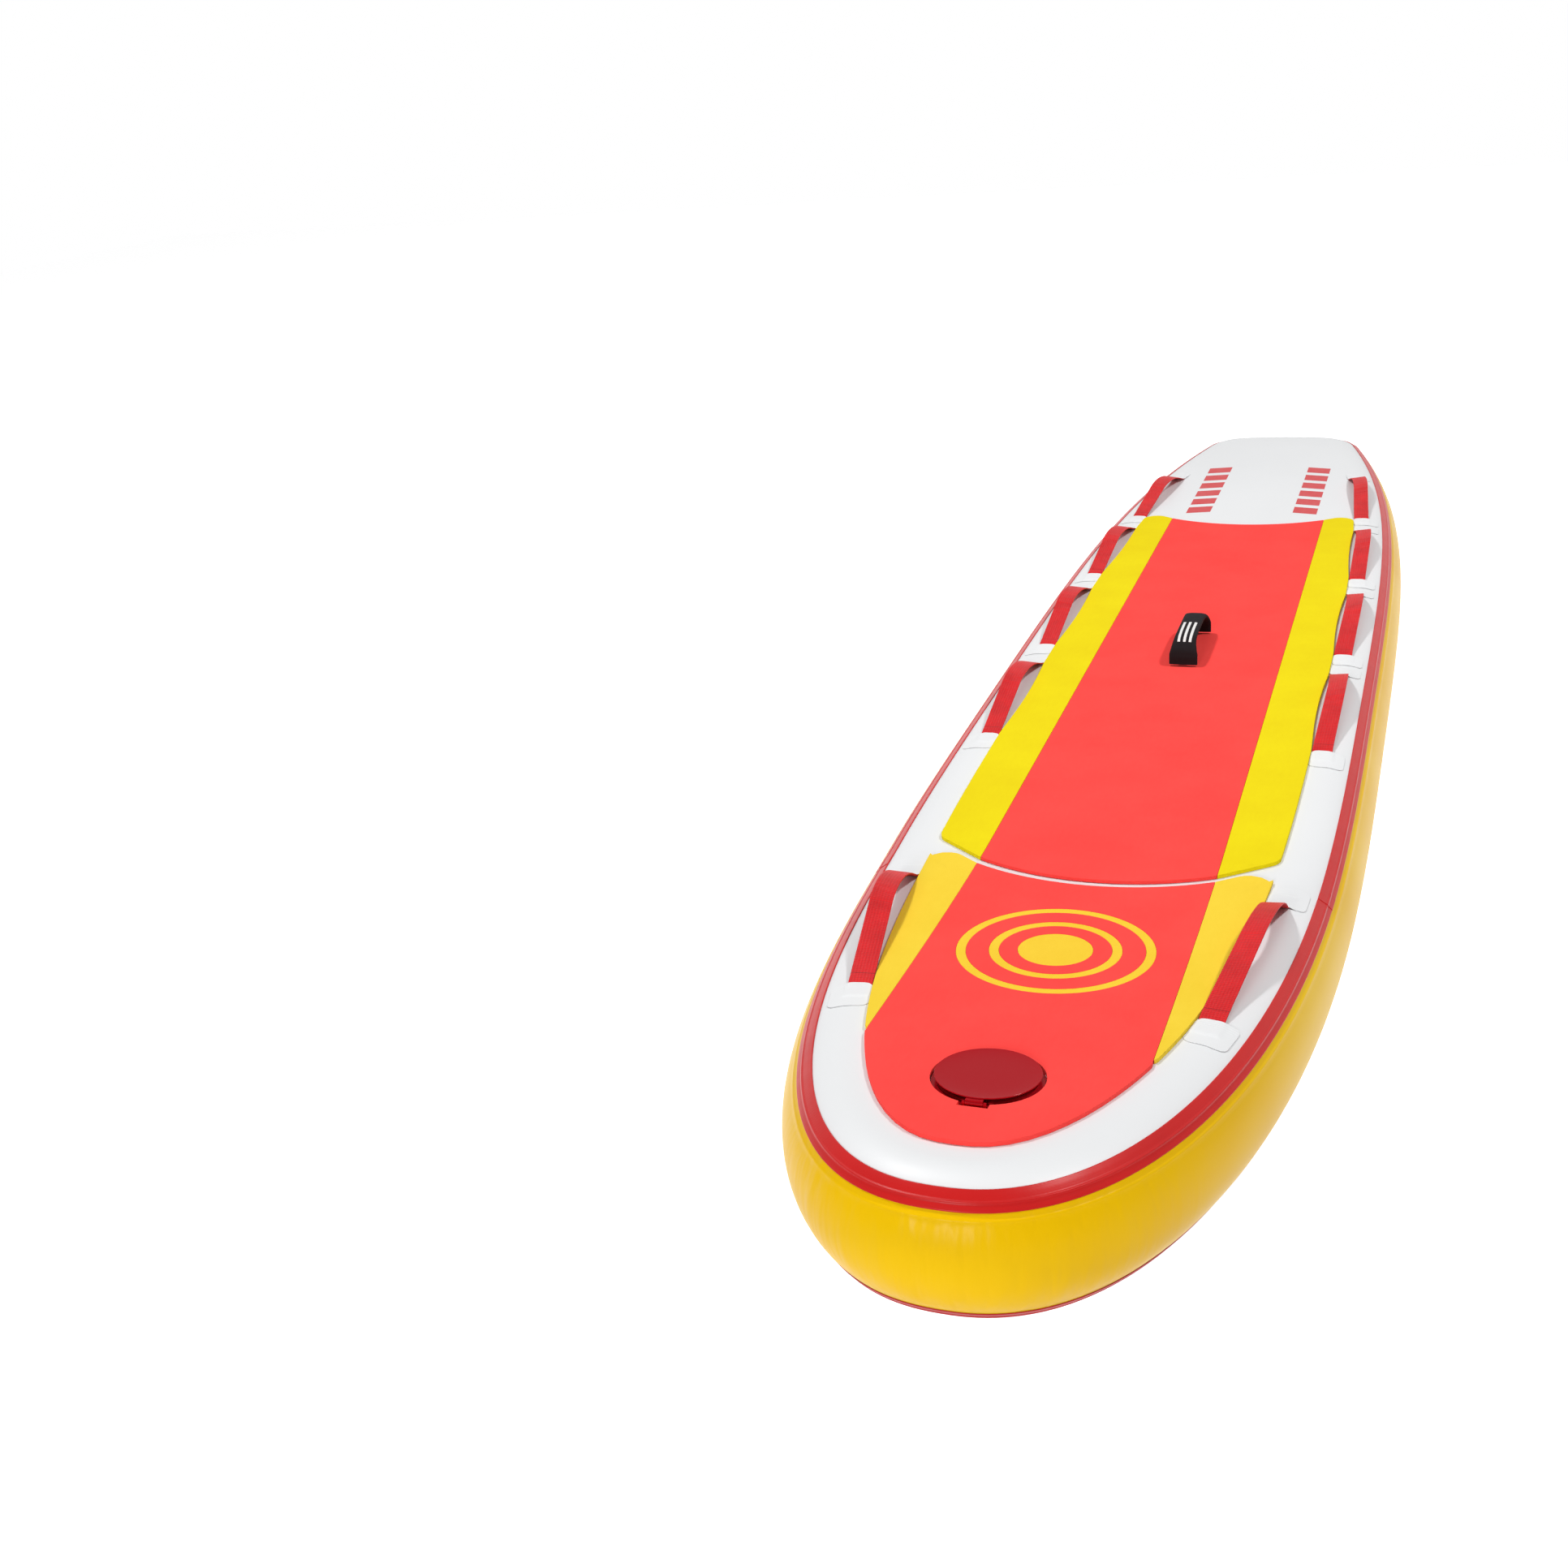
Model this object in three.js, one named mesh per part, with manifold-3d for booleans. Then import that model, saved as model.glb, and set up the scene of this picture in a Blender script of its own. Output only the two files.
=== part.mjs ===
// Inflatable rescue board with foam deck pads, webbing grab handles, a padded carry handle and an air valve.
// Units are millimetres. +X points to the nose, +Y to port, +Z up. The origin is under the middle of the
// board, on the plane that its flat bottom stands on.

import * as THREE from 'three';
import { mergeVertices } from 'three/addons/utils/BufferGeometryUtils.js';
import Module from 'manifold-3d';

const wasm = await Module();
wasm.setup();

// Overall sizes
const boardLength = 3200;
const boardWidth = 635;
const boardThickness = 150;

// Clearances and the overrun of cutting solids
const clearance = 0.3;
const cutOverrun = 6;

// Rail section, half an ellipse that joins the flat deck to the flat bottom
const railReach = 72;
const seamInset = 37;

// Plan outline, drawn as the line that the deck seam tape's inner edge follows
const widestStation = 210;
const noseLengthPower = 3.255;
const noseWidthPower = 2.277;
const tailPower = 3.51;
const tailHalfWidth = 141;
const tailCornerRadius = 84;
const tailCrown = 8;

// Nose rocker, the lift of the nose end
const rockerStart = 760;
const rockerRise = 67;
const rockerPower = 1.5;

// Sheet thicknesses of the shell
const skinThickness = 1.2;
const tapeThickness = 1.2;
const tapeWidthInPlan = 17.3;

// Foam deck pads
const padThickness = 5;
const padInset = 54;
const padTipExtra = 6;
const padSeamHalfGap = 0.25;
const padColorLine = 150;
const padEndRadius = 300;
const padCornerRadius = 25;
const mainPadFront = 854;
const mainPadRear = -758;
const nosePadRear = 873;
const padPointWidth = 3;
const scallopDepth = 9;

// Target rings inlaid in the nose pad
const targetStation = 1059;
const outerRingRadius = 113.3;
const middleRingRadius = 75.5;
const discRadius = 42.6;
const ringWidth = 11;
const inlayThickness = 2.4;
const inlayRecess = 0.2;

// Grab handles, five a side, each a loop of webbing between two patches
const webbingWidth = 28;
const webbingThickness = 2;
const webbingPadGap = 0.5;
const noseHandleFront = 1192;
const noseHandleSpan = 308;
const sideHandleFront = 387;
const sideHandleSpan = 306;
const sideHandlePitch = 405;
const noseHandleHeight = 36;
const sideHandleHeights = [28, 27, 26, 25];
const handleStubRun = 30;
const patchLength = 47;
const longPatchLength = 57;
const patchOuterInset = 7;
const patchThickness = 1.5;
const webbingTailLength = 34;
const tailCoverMargin = 0.5;
const handleInset = padInset - webbingWidth / 2 - tailCoverMargin - webbingPadGap;

// Carry handle in the middle of the main pad
const carryFront = 75;
const carryRear = -88;
const carryHeight = 45;
const carryWebbingWidth = 38;
const carryWebbingThickness = 2;
const sleeveWidth = 45;
const sleeveThickness = 6.4;
const sleeveBevel = 1.6;
const carryStubHeight = 17;
const carryStubRun = 12;
const carryPatchLength = 60;
const carryPatchWidth = 70;

// Air valve under its cover, seated in the nose
const valveStation = 1372;
const valveBore = 18;
const valveBarrelRadius = 22;
const valveFlangeRadius = 32;
const valveFlangeThickness = 2.5;
const valveDepth = 42;
const valvePocketDepth = 52;
const valveSeatDepth = 28;
const valveSeatThickness = 3;
const valveAirHoleRadius = 2.4;
const valveAirHoleCircle = 10.4;
const valveAirHoleCount = 6;
const lockRingRadius = 30;
const lockRingThickness = 6;
const plungerStemRadius = 2.6;
const plungerButtonRadius = 7.5;
const plungerButtonThickness = 2.5;
const plungerButtonDepth = 8;
const plungerDiscRadius = 14.5;
const plungerDiscThickness = 2.4;
const springRadius = 4.9;
const springWireRadius = 0.6;
const springTurns = 5;
const capRadius = 21;
const capThickness = 2.4;
const capSkirtDepth = 5;
const capSkirtWall = 2;
const capRibWidth = 5;
const capRibHeight = 1.1;

// Valve cover, a round domed flap on a hinge
const coverRadius = 54.5;
const coverHoleGap = 4.5;
const coverHoleRadius = coverRadius + coverHoleGap;
const coverBaseInnerRadius = 34;
const coverBaseMargin = 3;
const coverBaseOuterRadius = coverRadius + coverBaseMargin;
const coverBaseThickness = 1.5;
const coverLipInset = 3.5;
const coverLipOuterRadius = coverRadius - coverLipInset;
const coverLipWidth = 3;
const coverLipHeight = 0.9;
const coverThickness = 1.6;
const coverDome = 6.3;
const coverHingeMargin = 1.5;
const coverHingeReach = coverRadius + coverHingeMargin;
const coverKnuckleRadius = 2;
const coverKnuckleHalf = 8.7;
const coverTabOverlap = 4;
const coverPinRadius = 0.8;
const coverEarThickness = 3;

// How finely curved faces are divided
const noseSteps = 17;
const sideSteps = 9;
const cornerSteps = 4;
const scallopSteps = 8;
const ringSegments = 32;
const valveSegments = 22;
const pinSegments = 12;
const springTurnSteps = 8;
const springWireSides = 5;
const domeSteps = 4;

// Shares that shape the webbing arches: distance along the span and height, from one root to the crown. The leg
// share is where a grab handle's straight leg would reach its full height.
const archLegShare = 0.28;
const archAlongShares = [0.2, 0.27, 0.35, 0.5];
const archHeightShares = [0.74, 0.93, 0.99, 1];
const carryAlongShares = [0.13, 0.25, 0.38, 0.5];
const carryHeightShares = [0.66, 0.89, 0.98, 1];
const padColumnShares = [-1, -0.67, -0.33, 0, 0.33, 0.67, 1];
const railFacetShare = 0.76;
const patchTurnShares = [0, 0.25, 0.5, 0.75, 1];
const cornerRoomShare = 0.6;
const shortStripShares = [0.35, 0.7];
const earLengthShare = 0.75;

const halfLength = boardLength / 2 - seamInset;
const halfWidth = boardWidth / 2 - seamInset;
const flatReach = railReach - seamInset;
const deckTop = boardThickness;

// Materials, one function for each
function plainMaterial(color, roughness) {
  return new THREE.MeshStandardMaterial({ color, roughness, metalness: 0 });
}
const whiteFabric = plainMaterial(0xe6e6e6, 0.45);
const yellowFabric = plainMaterial(0xf2b705, 0.4);
const redTape = plainMaterial(0xcf2b2e, 0.38);
const darkRedTape = plainMaterial(0xa02020, 0.45);
const redFoam = plainMaterial(0xf74340, 0.85);
const yellowFoam = plainMaterial(0xf5e018, 0.85);
const amberFoam = plainMaterial(0xf5c93a, 0.85);
const redWebbing = plainMaterial(0xd6262b, 0.7);
const blackFabric = plainMaterial(0x201d1f, 0.75);
const blackPlastic = plainMaterial(0x232325, 0.5);
const grayPlastic = plainMaterial(0x8d9094, 0.5);
const redPlastic = plainMaterial(0xb0191e, 0.25);
const hiddenCore = plainMaterial(0xd8d8d4, 0.9);
const springSteel = new THREE.MeshStandardMaterial({ color: 0xb9bcc0, roughness: 0.35, metalness: 1 });

const board = new THREE.Group();

function addPart(name, geometry, material) {
  const mesh = new THREE.Mesh(geometry, material);
  mesh.name = name;
  board.add(mesh);
}

// Small helpers for closed triangle meshes
function meshGeometry(points, triangles) {
  const geometry = new THREE.BufferGeometry();
  geometry.setAttribute('position', new THREE.Float32BufferAttribute(points.flat(), 3));
  geometry.setIndex(triangles.flat());
  return geometry;
}

function toSolid(geometry) {
  const bare = geometry.clone();
  bare.deleteAttribute('normal');
  bare.deleteAttribute('uv');
  const merged = mergeVertices(bare);
  return new wasm.Manifold(new wasm.Mesh({
    numProp: 3,
    vertProperties: new Float32Array(merged.attributes.position.array),
    triVerts: new Uint32Array(merged.index.array),
  }));
}

function fromSolid(solid) {
  const mesh = solid.getMesh();
  const geometry = new THREE.BufferGeometry();
  geometry.setAttribute('position', new THREE.BufferAttribute(mesh.vertProperties, 3));
  geometry.setIndex(new THREE.BufferAttribute(mesh.triVerts, 1));
  return geometry;
}

function joined(...geometries) {
  return fromSolid(geometries.map(toSolid).reduce((whole, solid) => whole.add(solid)));
}

function cut(geometry, ...tools) {
  return fromSolid(tools.map(toSolid).reduce((left, tool) => left.subtract(tool), toSolid(geometry)));
}

// The starboard copy of a port piece
function mirrored(geometry) {
  const copy = geometry.index ? geometry.toNonIndexed() : geometry.clone();
  copy.deleteAttribute('normal');
  copy.deleteAttribute('uv');
  const position = copy.attributes.position;
  const points = [];
  for (let i = 0; i < position.count; i += 3) {
    for (const corner of [i, i + 2, i + 1]) {
      points.push([position.getX(corner), -position.getY(corner), position.getZ(corner)]);
    }
  }
  return mergeVertices(meshGeometry(points, points.map((_, i) => [i])));
}

// Plan outline: the half width between the seam lines at a station, then the seam line with its outward normal
function seamHalfWidth(x) {
  if (x >= widestStation) {
    const along = (x - widestStation) / (halfLength - widestStation);
    return halfWidth * (1 - along ** noseLengthPower) ** (1 / noseWidthPower);
  }
  const along = (widestStation - x) / (widestStation + halfLength);
  return halfWidth - (halfWidth - tailHalfWidth) * along ** tailPower;
}

function seamFrame(x) {
  const step = clearance;
  const slope = (seamHalfWidth(x + step) - seamHalfWidth(x - step)) / (2 * step);
  const size = Math.hypot(slope, 1);
  return { x, y: seamHalfWidth(x), nx: -slope / size, ny: 1 / size };
}

function portOutline() {
  const points = [];
  for (let i = 0; i <= noseSteps; i++) {
    const angle = (Math.PI / 2) * (1 - i / noseSteps);
    const along = Math.sin(angle) ** (2 / noseLengthPower);
    const across = Math.max(Math.cos(angle), 0) ** (2 / noseWidthPower);
    const x = widestStation + (halfLength - widestStation) * along;
    points.push({ x, y: i === 0 ? 0 : halfWidth * across });
  }
  const cornerSlope = (halfWidth - tailHalfWidth) * tailPower / (widestStation + halfLength);
  const lean = Math.atan(cornerSlope);
  const turn = Math.PI / 2 - lean;
  const tangent = tailCornerRadius * Math.tan(turn / 2);
  const tailEdge = tailCrown - halfLength;
  const sideEnd = tailEdge + tangent * Math.cos(lean);
  for (let i = 1; i <= sideSteps; i++) {
    const x = widestStation + (sideEnd - widestStation) * Math.sin((Math.PI / 2) * (i / sideSteps));
    points.push({ x, y: seamHalfWidth(x) });
  }
  const center = { x: tailEdge + tailCornerRadius, y: tailHalfWidth - tangent };
  for (let i = 1; i <= cornerSteps; i++) {
    const angle = Math.PI - turn * (1 - i / cornerSteps);
    points.push({
      x: center.x + tailCornerRadius * Math.cos(angle),
      y: center.y + tailCornerRadius * Math.sin(angle),
    });
  }
  points.push({ x: -halfLength, y: 0 });
  return points.map((point, i) => {
    if (i === 0) return { ...point, nx: 1, ny: 0 };
    if (i === points.length - 1) return { ...point, nx: -1, ny: 0 };
    const before = points[i - 1];
    const after = points[i + 1];
    const size = Math.hypot(after.x - before.x, after.y - before.y);
    return { ...point, nx: (after.y - before.y) / size, ny: (before.x - after.x) / size };
  });
}

const outline = portOutline();
const ring = [
  ...outline,
  ...outline.slice(1, -1).reverse().map((p) => ({ x: p.x, y: -p.y, nx: p.nx, ny: -p.ny })),
];

// Rocker lift. It runs straight between the rows of the deck's facets, so that what lies on them keeps clear.
function trueRocker(x) {
  return rockerRise * (Math.max(x - rockerStart, 0) / (boardLength / 2 - rockerStart)) ** rockerPower;
}
const rockerRows = [
  boardLength / 2,
  ...outline.map((p) => p.x - flatReach * p.nx),
  -boardLength / 2,
].sort((a, b) => b - a);

function rockerLift(x) {
  const row = Math.max(rockerRows.findIndex((edge) => edge <= x), 1);
  const front = rockerRows[row - 1];
  const rear = rockerRows[row];
  const share = (x - rear) / (front - rear);
  return trueRocker(rear) + (trueRocker(front) - trueRocker(rear)) * share;
}

// A point of the hull's section at an angle from straight up, sunk below the outer surface by a depth
function railPoint(angle, depth) {
  const half = boardThickness / 2;
  const along = new THREE.Vector2(Math.sin(angle) / railReach, Math.cos(angle) / half).normalize();
  return {
    out: railReach * Math.sin(angle) - flatReach - depth * along.x,
    z: half + half * Math.cos(angle) - depth * along.y,
  };
}

function angleAtOffset(out) {
  return Math.asin((out + flatReach) / railReach);
}

function placeOnRing(station, point) {
  const x = station.x + station.nx * point.out;
  return [x, station.y + station.ny * point.out, point.z + rockerLift(x)];
}

// Sweeps a section round the whole outline. A capped section starts and ends at the flat faces, which are
// closed with strips from side to side. A looped section closes on itself, like a band.
function sweepRound(profile, capped) {
  const count = profile.length;
  const last = outline.length - 1;
  const points = ring.flatMap((station) => profile.map((point) => placeOnRing(station, point)));
  const vertex = (station, row) => (station % ring.length) * count + row;
  const triangles = [];
  for (let i = 0; i < ring.length; i++) {
    for (let j = 0; j < (capped ? count - 1 : count); j++) {
      const below = (j + 1) % count;
      triangles.push([vertex(i, j), vertex(i, below), vertex(i + 1, below)]);
      triangles.push([vertex(i, j), vertex(i + 1, below), vertex(i + 1, j)]);
    }
  }
  const mirror = (i) => (ring.length - i) % ring.length;
  for (let k = 0; capped && k < last; k++) {
    for (const [row, flip] of [[0, false], [count - 1, true]]) {
      const corners = [k, k + 1, mirror(k + 1), mirror(k)].map((station) => vertex(station, row));
      const faces = [];
      if (k < last - 1) faces.push([corners[0], corners[1], corners[2]]);
      if (k === last - 1) faces.push([corners[0], corners[1], corners[3]]);
      if (k > 0 && k < last - 1) faces.push([corners[0], corners[2], corners[3]]);
      triangles.push(...faces.map((face) => (flip ? face.reverse() : face)));
    }
  }
  return meshGeometry(points, triangles);
}

// The hull: core, deck skin, bottom skin, rail wall and the two seam tapes
const tapeInner = angleAtOffset(0);
const tapeOuter = angleAtOffset(tapeWidthInPlan);
const seamJoint = (tapeInner + tapeOuter) / 2;
const jointGap = clearance / railReach;
const railAngles = [tapeOuter, (Math.PI / 2) * railFacetShare, Math.PI / 2];
const deckAngles = [0, tapeInner / 2, tapeInner];
const mirrorAngles = (angles) => angles.map((angle) => Math.PI - angle).reverse();

function band(angles, outerDepth, innerDepth) {
  const outer = angles.map((angle) => railPoint(angle, outerDepth));
  const inner = angles.map((angle) => railPoint(angle, innerDepth)).reverse();
  return [...outer, ...inner];
}

const coreAngles = [...deckAngles, ...railAngles, ...mirrorAngles([...deckAngles, ...railAngles.slice(0, -1)])];
const coreDepth = skinThickness + clearance;
const coreShape = sweepRound(coreAngles.map((angle) => railPoint(angle, coreDepth)), true);
const deckSkinShape = sweepRound(band([...deckAngles, seamJoint], 0, skinThickness), true);
const bottomSkinBand = band(mirrorAngles([...deckAngles, seamJoint]), 0, skinThickness);
const bandRows = bottomSkinBand.length / 2;
const bottomSkinShape = sweepRound([...bottomSkinBand.slice(bandRows), ...bottomSkinBand.slice(0, bandRows)], true);
const wallAngles = [seamJoint + jointGap, ...railAngles];
const railShape = sweepRound(band([...wallAngles, ...mirrorAngles(wallAngles).slice(1)], 0, skinThickness), false);
const tapeBand = (angles) => band(angles, -clearance - tapeThickness, -clearance);
const deckTapeShape = sweepRound(tapeBand([tapeInner, seamJoint, tapeOuter]), false);
const bottomTapeShape = sweepRound(tapeBand(mirrorAngles([tapeInner, seamJoint, tapeOuter])), false);

// Valve axis, square to the deck under it
const chordFront = rockerLift(valveStation + coverHoleRadius);
const chordRear = rockerLift(valveStation - coverHoleRadius);
const valveTilt = Math.atan2(chordFront - chordRear, 2 * coverHoleRadius);
const valveSeat = new THREE.Vector3(valveStation, 0, deckTop + (chordFront + chordRear) / 2);

function onValveSeat(geometry) {
  const placed = geometry.clone();
  placed.rotateY(-valveTilt);
  placed.translate(valveSeat.x, valveSeat.y, valveSeat.z);
  return placed;
}

function lathe(profile, segments = valveSegments) {
  const shape = new THREE.LatheGeometry(profile.map(([r, z]) => new THREE.Vector2(r, z)), segments);
  shape.rotateX(Math.PI / 2);
  return shape;
}

function pillar(radius, bottom, top, segments = valveSegments) {
  const shape = new THREE.CylinderGeometry(radius, radius, top - bottom, segments);
  shape.rotateX(Math.PI / 2);
  shape.translate(0, 0, (top + bottom) / 2);
  return shape;
}

function block(x0, x1, y0, y1, z0, z1) {
  const shape = new THREE.BoxGeometry(x1 - x0, y1 - y0, z1 - z0);
  shape.translate((x0 + x1) / 2, (y0 + y1) / 2, (z0 + z1) / 2);
  return shape;
}

const pocketTool = onValveSeat(pillar(lockRingRadius + 2 * clearance, -valvePocketDepth, cutOverrun));
const skinHoleTool = onValveSeat(pillar(valveBarrelRadius + clearance, -cutOverrun, cutOverrun));
addPart('drop_stitch_core', cut(coreShape, pocketTool), hiddenCore);
addPart('deck_skin', cut(deckSkinShape, skinHoleTool), whiteFabric);
addPart('bottom_skin', bottomSkinShape, whiteFabric);
addPart('rail_wall', railShape, yellowFabric);
addPart('deck_seam_tape', deckTapeShape, redTape);
addPart('bottom_seam_tape', bottomTapeShape, darkRedTape);

// A slab that lies on the deck, from rows of plan points, each row running from starboard to port
function slabOnDeck(rows, bottom, top, surface = () => 0) {
  const width = rows[0].length;
  const flat = rows.flat();
  const place = (height) => ([x, y]) => [x, y, deckTop + rockerLift(x) + surface(x, y) + height];
  const points = [...flat.map(place(top)), ...flat.map(place(bottom))];
  const triangles = [];
  const quad = (a, b, c, d) => triangles.push([a, b, c], [a, c, d]);
  const upper = (i, j) => i * width + j;
  const lower = (i, j) => flat.length + upper(i, j);
  for (let i = 0; i < rows.length - 1; i++) {
    for (let j = 0; j < width - 1; j++) {
      quad(upper(i, j), upper(i + 1, j), upper(i + 1, j + 1), upper(i, j + 1));
      quad(lower(i, j), lower(i, j + 1), lower(i + 1, j + 1), lower(i + 1, j));
    }
    quad(upper(i, 0), lower(i, 0), lower(i + 1, 0), upper(i + 1, 0));
    quad(upper(i + 1, width - 1), lower(i + 1, width - 1), lower(i, width - 1), upper(i, width - 1));
  }
  for (let j = 0; j < width - 1; j++) {
    quad(upper(0, j + 1), lower(0, j + 1), lower(0, j), upper(0, j));
    const end = rows.length - 1;
    quad(upper(end, j), lower(end, j), lower(end, j + 1), upper(end, j + 1));
  }
  return meshGeometry(points, triangles);
}

// Pad outlines. The ends are arcs that bulge toward the nose, and the sides follow the seam line.
function padEnd(center, y) {
  return center - padEndRadius + Math.sqrt(padEndRadius ** 2 - y ** 2);
}

function padEdge(station, extra = 0) {
  const inset = padInset + padTipExtra * station.nx ** 2 + extra;
  return [station.x - station.nx * inset, station.y - station.ny * inset];
}

const padBottom = clearance;
const padTop = clearance + padThickness;
const innerLine = padColorLine - padSeamHalfGap;
const outerLine = padColorLine + padSeamHalfGap;
const rowsBetween = (rear, front) => rockerRows.filter((x) => x > rear && x < front).reverse();
const acrossRow = (half, xAt) => padColumnShares.map((share) => [xAt(share * half), share * half]);

// Main pad, red centre, with pockets and slots for the carry handle's patches
const endDrop = padEndRadius - Math.sqrt(padEndRadius ** 2 - innerLine ** 2);
const mainRows = [
  acrossRow(innerLine, (y) => padEnd(mainPadRear, y)),
  ...rowsBetween(mainPadRear + padCornerRadius, mainPadFront - endDrop - padCornerRadius)
    .map((x) => acrossRow(innerLine, () => x)),
  acrossRow(innerLine, (y) => padEnd(mainPadFront, y)),
];

function carryPocket(root, away) {
  const reach = root + away * (carryPatchLength + clearance);
  const near = root - away * (carryStubRun + sleeveThickness);
  const half = carryPatchWidth / 2 + clearance;
  const ceiling = deckTop + 2 * clearance + patchThickness + carryWebbingThickness;
  const pocket = block(Math.min(near, reach), Math.max(near, reach), -half, half, deckTop - cutOverrun, ceiling);
  const slotHalf = carryWebbingWidth / 2 + clearance;
  const slotFar = root + away * (carryWebbingThickness + clearance);
  const slot = block(
    Math.min(near, slotFar), Math.max(near, slotFar), -slotHalf, slotHalf,
    deckTop - cutOverrun, deckTop + padTop + cutOverrun,
  );
  return [pocket, slot];
}
const mainCenter = cut(
  slabOnDeck(mainRows, padBottom, padTop), ...carryPocket(carryFront, 1), ...carryPocket(carryRear, -1),
);
addPart('main_pad_center', mainCenter, redFoam);

// Corner arc of a pad's outline between two edges
function cornerArc(before, corner, after, radius) {
  const toPoint = (p) => new THREE.Vector2(p[0], p[1]);
  const c = toPoint(corner);
  const first = toPoint(before).sub(c).normalize();
  const second = toPoint(after).sub(c).normalize();
  const half = first.angleTo(second) / 2;
  const start = c.clone().addScaledVector(first, radius / Math.tan(half));
  const end = c.clone().addScaledVector(second, radius / Math.tan(half));
  const center = c.clone().addScaledVector(first.clone().add(second).normalize(), radius / Math.sin(half));
  const points = [];
  for (let i = 0; i <= cornerSteps; i++) {
    const chord = start.clone().lerp(end, i / cornerSteps).sub(center).setLength(radius).add(center);
    points.push([chord.x, chord.y]);
  }
  return points;
}

// Rows between the straight colour line and an outer edge, matched by length along each
function stripRows(inner, outer) {
  const lengths = [0];
  for (let i = 1; i < outer.length; i++) {
    const step = Math.hypot(outer[i][0] - outer[i - 1][0], outer[i][1] - outer[i - 1][1]);
    lengths.push(lengths[i - 1] + step);
  }
  const total = lengths[lengths.length - 1];
  return outer.map((point, i) => {
    const share = lengths[i] / total;
    return [[inner[0][0] + (inner[1][0] - inner[0][0]) * share, inner[0][1]], point];
  });
}

// The station where a pad's outer edge meets its curved end
function endStation(center) {
  let station = center;
  for (let i = 0; i < sideSteps; i++) {
    const [x, y] = padEdge(seamFrame(station));
    station += padEnd(center, y) - x;
  }
  return station;
}

// Main pad, yellow strips, scalloped beside three handles so that a hand fits under the webbing
const sideHandles = sideHandleHeights.map((height, i) => ({
  front: sideHandleFront - i * sideHandlePitch,
  rear: sideHandleFront - i * sideHandlePitch - sideHandleSpan,
  height,
}));
const handles = [
  { front: noseHandleFront, rear: noseHandleFront - noseHandleSpan, height: noseHandleHeight },
  ...sideHandles,
];
const scalloped = sideHandles.filter((handle) => handle.rear > mainPadRear);

function scallopAt(x) {
  const beside = scalloped.find((handle) => x > handle.rear && x < handle.front);
  if (!beside) return 0;
  return scallopDepth * Math.sin(Math.PI * (x - beside.rear) / (beside.front - beside.rear));
}

// A strip's corner radius, held to the strip's width where it ends
function stripCorner(station) {
  return Math.min(padCornerRadius, (padEdge(seamFrame(station))[1] - outerLine) * cornerRoomShare);
}

const mainStart = endStation(mainPadRear);
const mainEnd = endStation(mainPadFront);
const mainStations = [
  ...scalloped.flatMap((handle) => Array.from({ length: scallopSteps + 1 }, (_, i) => (
    handle.rear + (handle.front - handle.rear) * (i / scallopSteps)
  ))),
  ...outline.map((p) => p.x).filter((x) => x > sideHandleFront && x < mainEnd - 2 * stripCorner(mainEnd)),
].sort((a, b) => a - b);
const mainEdge = mainStations.map((x) => padEdge(seamFrame(x), scallopAt(x)));
const endPoint = (center) => [padEnd(center, outerLine), outerLine];
const mainOuter = [
  ...cornerArc(endPoint(mainPadRear), padEdge(seamFrame(mainStart)), mainEdge[0], stripCorner(mainStart)),
  ...mainEdge,
  ...cornerArc(
    mainEdge[mainEdge.length - 1], padEdge(seamFrame(mainEnd)), endPoint(mainPadFront), stripCorner(mainEnd),
  ),
];
const mainStrip = slabOnDeck(
  stripRows([endPoint(mainPadRear), endPoint(mainPadFront)], mainOuter), padBottom, padTop,
);
addPart('main_pad_strip_port', mainStrip, yellowFoam);
addPart('main_pad_strip_starboard', mirrored(mainStrip), yellowFoam);

// Nose pad, red centre, cut for the valve and grooved for the target
const nosePoint = outline.map((p) => padEdge(p)).filter(([, y]) => y < innerLine);
const tipRow = nosePoint.slice(0, 3);
const tipHalf = tipRow[2][1];
function tipEdge(y) {
  const reach = Math.abs(y);
  const row = reach > tipRow[1][1] ? 1 : 0;
  const share = (reach - tipRow[row][1]) / (tipRow[row + 1][1] - tipRow[row][1]);
  return tipRow[row][0] + (tipRow[row + 1][0] - tipRow[row][0]) * share;
}
function fullWidthFront() {
  let station = valveStation;
  for (let i = 0; i < noseSteps; i++) {
    const [x, y] = padEdge(seamFrame(station));
    station = x - (innerLine - y) / Math.abs(seamFrame(station).nx / seamFrame(station).ny);
  }
  return padEdge(seamFrame(station))[0];
}
const colorLineFront = fullWidthFront();
const frontPoints = nosePoint.slice(3).filter(([x]) => x > colorLineFront + padCornerRadius).reverse();
const noseRows = [
  acrossRow(innerLine, (y) => padEnd(nosePadRear, y)),
  ...rowsBetween(nosePadRear, colorLineFront - padCornerRadius).map((x) => acrossRow(innerLine, () => x)),
  acrossRow(innerLine, () => colorLineFront),
  ...frontPoints.map(([x, y]) => acrossRow(y, () => x)),
  acrossRow(tipHalf, tipEdge),
];

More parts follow.
